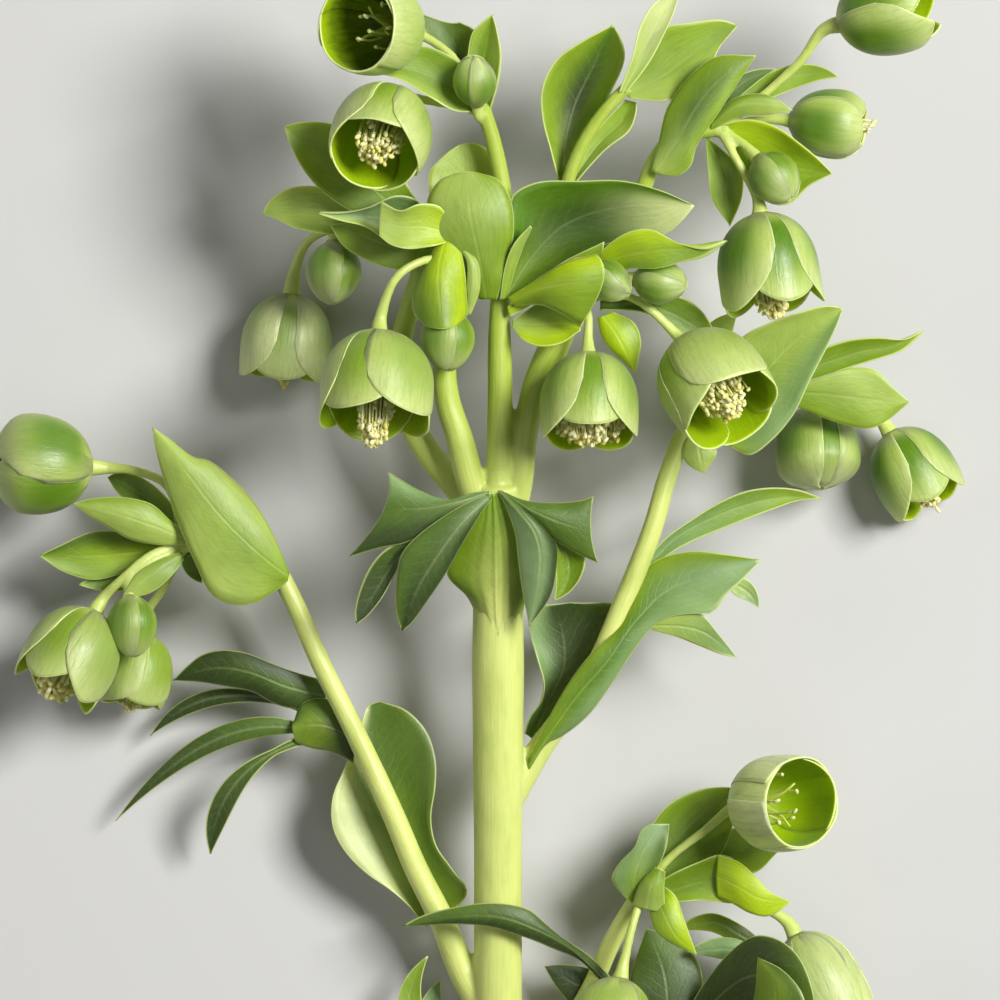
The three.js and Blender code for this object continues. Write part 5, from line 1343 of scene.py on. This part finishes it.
TISSUE = {
    "Subsurface Weight": 0.45,
    "Subsurface Radius": (1.0, 1.0, 0.25),
    "Subsurface Scale": 0.0015,
    "IOR": 1.42,
    "Specular IOR Level": 0.8,
    "Sheen Weight": 0.05,
    "Sheen Roughness": 0.4,
}
RIM_WIDTH = 0.28  # light margin of a blade or sepal, in millimetres
DARKENING = (0.62, 0.66, 0.5, 1.0)  # what the darker blotches and streaks of a blade multiply by
POLLEN_DUST = (0.75, 0.62, 0.3, 1.0)


class Sheet:
    """The marks of a blade or sepal that several finishes share, each from 0 to 1."""

    def __init__(self, finish, vein_gap, vein_slope, net_gap):
        across, along, self.inner = finish.split(finish.attribute("share"))
        beside, beyond, number = finish.split(finish.attribute("grain"))
        place = finish.vector(beside, beyond, number)
        drift = finish.noise(place, 0.3) - 0.5
        self.blotch = finish.noise(place, 0.14, 2.0)
        self.grit = finish.noise(place, 1.3, 4.0)
        side = beside.size()
        lines = (beyond * (1 / vein_gap) - side * (vein_slope / vein_gap) + drift * 1.2).part()
        fade = (1 - across.size().step(0.4, 0.95)) * (1 - along.step(0.8, 1.0))
        self.veins = (1 - (lines - 0.5).size().step(0.01, 0.12)) * fade
        self.rib = (1 - side.step(0.08, 0.45)) * (1 - along.step(0.5, 0.97))
        cells = finish.cells(finish.vector(beside, beyond * 0.5, number), 1 / net_gap)
        self.net = 1 - cells.step(0.01, 0.14)
        fine = finish.vector(across * 7, beyond * 0.09, number)
        self.streaks = finish.noise(fine, 2.0, 3.0, 0.6)
        gaps = [side * (across.size() ** -1 - 1), beyond * (along ** -1 - 1)]
        self.margin = 1 - finish.add("Math", gaps, {"operation": "MINIMUM"}).step(0.06, RIM_WIDTH)


def blade_finish(name, vein_gap, vein_slope, net_gap, light, streak, edge_light):
    """Leaves and bracts: a pale midrib, faint side veins with a net between them and a light edge.

    vein_gap is the distance between side veins along the midrib and net_gap the size of the net's
    cells, in millimetres. vein_slope is how steeply the veins leave the midrib, light how much
    paler they are, streak how strong the streaks along the blade are, and edge_light how light
    its edge is.
    """
    finish = Finish(name)
    palette = colours()
    sheet = Sheet(finish, vein_gap, vein_slope, net_gap)
    tone = finish.attribute("tone", "Color")
    darker = finish.mix(1.0, tone, DARKENING, "MULTIPLY")
    colour = finish.mix(sheet.blotch.step(0.3, 0.75) * 0.5, tone, darker)
    colour = finish.mix(sheet.streaks.step(0.4, 0.75) * streak, colour, darker)
    paler = finish.mix(0.4, colour, palette["edge"])
    colour = finish.mix((sheet.veins * 0.3 + sheet.net * 0.12 + sheet.rib) * light, colour, paler)
    colour = finish.mix(sheet.margin * edge_light, colour, palette["edge"])
    sunk = sheet.veins * 0.25 + sheet.net * 0.1 + sheet.rib
    relief = finish.bump(sheet.grit * 0.3 - sunk, 2 * light)
    roughness = 0.42 + sheet.grit * 0.2
    return finish.surface({"Base Color": colour, "Roughness": roughness, "Normal": relief}, TISSUE)


def sepal_finish(name, edge_light):
    """Sepals: fine lengthwise veins outside, a deep yellow green inside and a light edge."""
    finish = Finish(name)
    palette = colours()
    sheet = Sheet(finish, vein_gap=3.0, vein_slope=2.6, net_gap=1.6)
    tone = finish.attribute("tone", "Color")
    lines = sheet.streaks.step(0.46, 0.66)
    outer = 1 - sheet.inner
    colour = finish.mix((lines * 0.2 + sheet.net * 0.08) * outer, tone, palette["vein"])
    colour = finish.mix(sheet.blotch.step(0.4, 0.8) * outer * 0.25, colour, palette["fresh"])
    colour = finish.mix(sheet.streaks.step(0.3, 0.7) * sheet.inner * 0.25, colour, palette["acid"])
    colour = finish.mix(sheet.margin * edge_light, colour, palette["edge"])
    relief = finish.bump(lines * -0.3 - sheet.net * 0.1 + sheet.grit * 0.3, 0.45)
    roughness = 0.34 + sheet.grit * 0.2
    return finish.surface({"Base Color": colour, "Roughness": roughness, "Normal": relief}, TISSUE)


def stem_finish():
    """Stem skin: fine streaks along it, faint blotches and a paler cut face with rings."""
    finish = Finish("stem_skin")
    palette = colours()
    cut, _, _ = finish.split(finish.attribute("share"))
    x, y, along = finish.split(finish.attribute("grain"))
    tone = finish.attribute("tone", "Color")
    streaks = finish.noise(finish.vector(x, y, along * 0.06), 2.2, 4.0, 0.6)
    blotch = finish.noise(finish.vector(x, y, along * 0.4), 0.25, 2.0)
    colour = finish.mix(streaks.step(0.3, 0.8) * 0.22, tone, palette["edge"])
    colour = finish.mix(blotch.step(0.4, 0.8) * 0.3, colour, palette["fresh"])
    rings = finish.noise(finish.vector(x, y, 0.0), 1.8, 3.0)
    colour = finish.mix(cut * rings, colour, palette["cut"])
    relief = finish.bump(streaks, 0.35, distance=0.0003)
    roughness = 0.36 + streaks * 0.12
    return finish.surface({"Base Color": colour, "Roughness": roughness, "Normal": relief}, TISSUE)


def stamen_finish():
    """Threads, pods and pollen sacs, powdery where the pollen is."""
    finish = Finish("stamen_threads")
    tone = finish.attribute("tone", "Color")
    _, _, sac = finish.split(finish.attribute("grain"))
    place = finish.add("TexCoord", {}, output="Object")
    dust = finish.noise(place, 2600.0, 2.0)
    colour = finish.mix(dust.step(0.4, 0.7) * 0.3, tone, POLLEN_DUST)
    relief = finish.bump(dust * sac, 0.6)
    roughness = 0.5 + sac * 0.3
    return finish.surface({"Base Color": colour, "Roughness": roughness, "Normal": relief}, TISSUE)


# ---------------------------------------------------------------- operators

# Lights: name, place beside the middle of the plant and width in metres, and power in watts.
LIGHTS = (
    ("key", (1.05, 0.5, 1.5), 0.7, 52),
    ("fill", (0.1, -0.5, 1.9), 1, 3),
    ("rim", (-1.5, 0.1, 1), 0.9, 4),
)
SKY, SKY_STRENGTH = (0.93, 0.96, 1.0, 1.0), 0.08
FLOOR_HALF_WIDTH = 6  # metres
MIDDLE_HEIGHT = 35  # where the camera and the lights are aimed, in millimetres


class PlantOperator:
    """Shared by the operators: what each of them is shown as."""

    bl_options = {"REGISTER", "UNDO"}


class HELLEBORE_OT_stem(PlantOperator, bpy.types.Operator):
    """Grow the stalk with its branches and the stalks of its bells and buds"""

    bl_idname = "hellebore.stem"
    bl_label = "Stem"

    def execute(self, context):
        lines = stem_lines()
        bm = start_piece()
        for centres, radii, _ in lines:
            grow_tube(bm, centres, radii, STEM_SIDES)
        skin = joined_skin(finish_mesh(bm, "stem_skin"), sizes()["voxel"] * MM)
        paint_stem(skin, lines, colours())
        skin.name = "stalk_and_branches"
        for polygon in skin.polygons:
            polygon.use_smooth = True
        add_piece(skin, stem_finish(), "flowering_stem")
        return {"FINISHED"}


class HELLEBORE_OT_bells(PlantOperator, bpy.types.Operator):
    """Grow the five overlapping sepals of every bell"""

    bl_idname = "hellebore.bells"
    bl_label = "Bells"

    def execute(self, context):
        finish = sepal_finish("sepal_skin", edge_light=0.7)
        for index, flower in enumerate(FLOWERS, 1):
            bm = start_piece()
            grow_bell(bm, flower, sizes(), colours())
            mesh = finish_mesh(bm, f"sepals_{index:02}")
            add_piece(mesh, finish, f"flower_{index:02}")
        return {"FINISHED"}


class HELLEBORE_OT_stamens(PlantOperator, bpy.types.Operator):
    """Grow the stamens and seed pods of the open bells"""

    bl_idname = "hellebore.stamens"
    bl_label = "Stamens"

    def execute(self, context):
        finish = stamen_finish()
        for index, flower in enumerate(FLOWERS, 1):
            if not flower["stamens"]:
                continue
            bm = start_piece()
            grow_stamens(bm, flower, sizes(), colours())
            mesh = finish_mesh(bm, f"threads_{index:02}")
            add_piece(mesh, finish, f"stamens_{index:02}")
        return {"FINISHED"}


class HELLEBORE_OT_buds(PlantOperator, bpy.types.Operator):
    """Grow the closed buds"""

    bl_idname = "hellebore.buds"
    bl_label = "Buds"

    def execute(self, context):
        finish = sepal_finish("bud_skin", edge_light=0.3)
        for index, form in enumerate(BUDS, 1):
            bm = start_piece()
            grow_bud(bm, form, sizes(), colours())
            mesh = finish_mesh(bm, f"closed_bud_{index:02}")
            add_piece(mesh, finish, f"bud_{index:02}")
        return {"FINISHED"}


def grow_sprays(sprays, finish):
    """Adds one piece for each spray of blades."""
    size, palette = sizes(), colours()
    for node, blades in sprays.items():
        bm = start_piece()
        for number, leaf in enumerate(blades):
            grow_blade(bm, leaf, 7 * number + len(node), size, palette)
        add_piece(finish_mesh(bm, node + "_blades"), finish, node)


class HELLEBORE_OT_leaves(PlantOperator, bpy.types.Operator):
    """Grow the fingered green leaves"""

    bl_idname = "hellebore.leaves"
    bl_label = "Leaves"

    def execute(self, context):
        finish = blade_finish("leaf_skin", vein_gap=2.6, vein_slope=1.1, net_gap=1.1, light=0.25,
                              streak=0.35, edge_light=0.45)
        grow_sprays(LEAVES, finish)
        return {"FINISHED"}


class HELLEBORE_OT_bracts(PlantOperator, bpy.types.Operator):
    """Grow the pale bracts"""

    bl_idname = "hellebore.bracts"
    bl_label = "Bracts"

    def execute(self, context):
        finish = blade_finish("bract_skin", vein_gap=3.4, vein_slope=1.6, net_gap=1.5, light=0.15,
                              streak=0.6, edge_light=0.45)
        grow_sprays(BRACTS, finish)
        return {"FINISHED"}


class HELLEBORE_OT_stage(PlantOperator, bpy.types.Operator):
    """Set up the floor, the soft lights and the camera that looks down on the flower"""

    bl_idname = "hellebore.stage"
    bl_label = "Stage"

    def execute(self, context):
        scene = context.scene
        palette, size = colours(), sizes()
        bm = bmesh.new()
        bmesh.ops.create_grid(bm, x_segments=1, y_segments=1, size=FLOOR_HALF_WIDTH)
        mesh = bpy.data.meshes.new("floor")
        bm.to_mesh(mesh)
        bm.free()
        floor = bpy.data.objects.new("floor", mesh)
        scene.collection.objects.link(floor)
        paper = {"Base Color": palette["floor"], "Roughness": 0.9}
        mesh.materials.append(Finish("floor_paper").surface({}, paper))
        centre = TO_FRAME @ Vector((0, 0, MIDDLE_HEIGHT))
        for name, beside, wide, watts in LIGHTS:
            soft_light(name, centre + Vector(beside), centre, wide, watts)
        world = bpy.data.worlds.new("studio")
        world.use_nodes = True
        background = world.node_tree.nodes["Background"]
        background.inputs["Color"].default_value = SKY
        background.inputs["Strength"].default_value = SKY_STRENGTH
        scene.world = world
        camera = bpy.data.cameras.new("camera")
        camera.lens = camera.sensor_width * size["distance"] / size["picture"]
        viewer = bpy.data.objects.new("camera", camera)
        viewer.location = centre + Vector((0, 0, size["distance"] * MM))
        scene.collection.objects.link(viewer)
        scene.camera = viewer
        scene.view_settings.view_transform = "Standard"
        return {"FINISHED"}


def soft_light(name, place, target, wide, watts):
    """A square area light that faces a point."""
    light = bpy.data.lights.new(name, "AREA")
    light.size = wide
    light.energy = watts
    lamp = bpy.data.objects.new(name, light)
    rotation = (target - place).to_track_quat("-Z", "Y")
    lamp.matrix_world = Matrix.LocRotScale(place, rotation, None)
    bpy.context.scene.collection.objects.link(lamp)


class HELLEBORE_PT_panel(bpy.types.Panel):
    """Lists the pieces of the plant and what can be changed"""

    bl_label = "Hellebore"
    bl_idname = "HELLEBORE_PT_panel"
    bl_space_type = "VIEW_3D"
    bl_region_type = "UI"
    bl_category = "Hellebore"

    def draw(self, context):
        column = self.layout.column()
        for operator in OPERATORS:
            column.operator(operator.bl_idname)
        for group in (context.scene.hellebore_sizes, context.scene.hellebore_colours):
            for name in group.__annotations__:
                column.prop(group, name)


OPERATORS = (HELLEBORE_OT_stage, HELLEBORE_OT_stem, HELLEBORE_OT_bells, HELLEBORE_OT_stamens,
             HELLEBORE_OT_buds, HELLEBORE_OT_leaves, HELLEBORE_OT_bracts)
CLASSES = (HelleboreSizes, HelleboreColours, *OPERATORS, HELLEBORE_PT_panel)


def register():
    for item in CLASSES:
        bpy.utils.register_class(item)
    bpy.types.Scene.hellebore_sizes = bpy.props.PointerProperty(type=HelleboreSizes)
    bpy.types.Scene.hellebore_colours = bpy.props.PointerProperty(type=HelleboreColours)


def unregister():
    del bpy.types.Scene.hellebore_colours
    del bpy.types.Scene.hellebore_sizes
    for item in reversed(CLASSES):
        bpy.utils.unregister_class(item)


def main():
    """Builds every piece in order."""
    register()
    for operator in OPERATORS:
        group, name = operator.bl_idname.split(".")
        getattr(getattr(bpy.ops, group), name)()


if __name__ == "__main__":
    main()
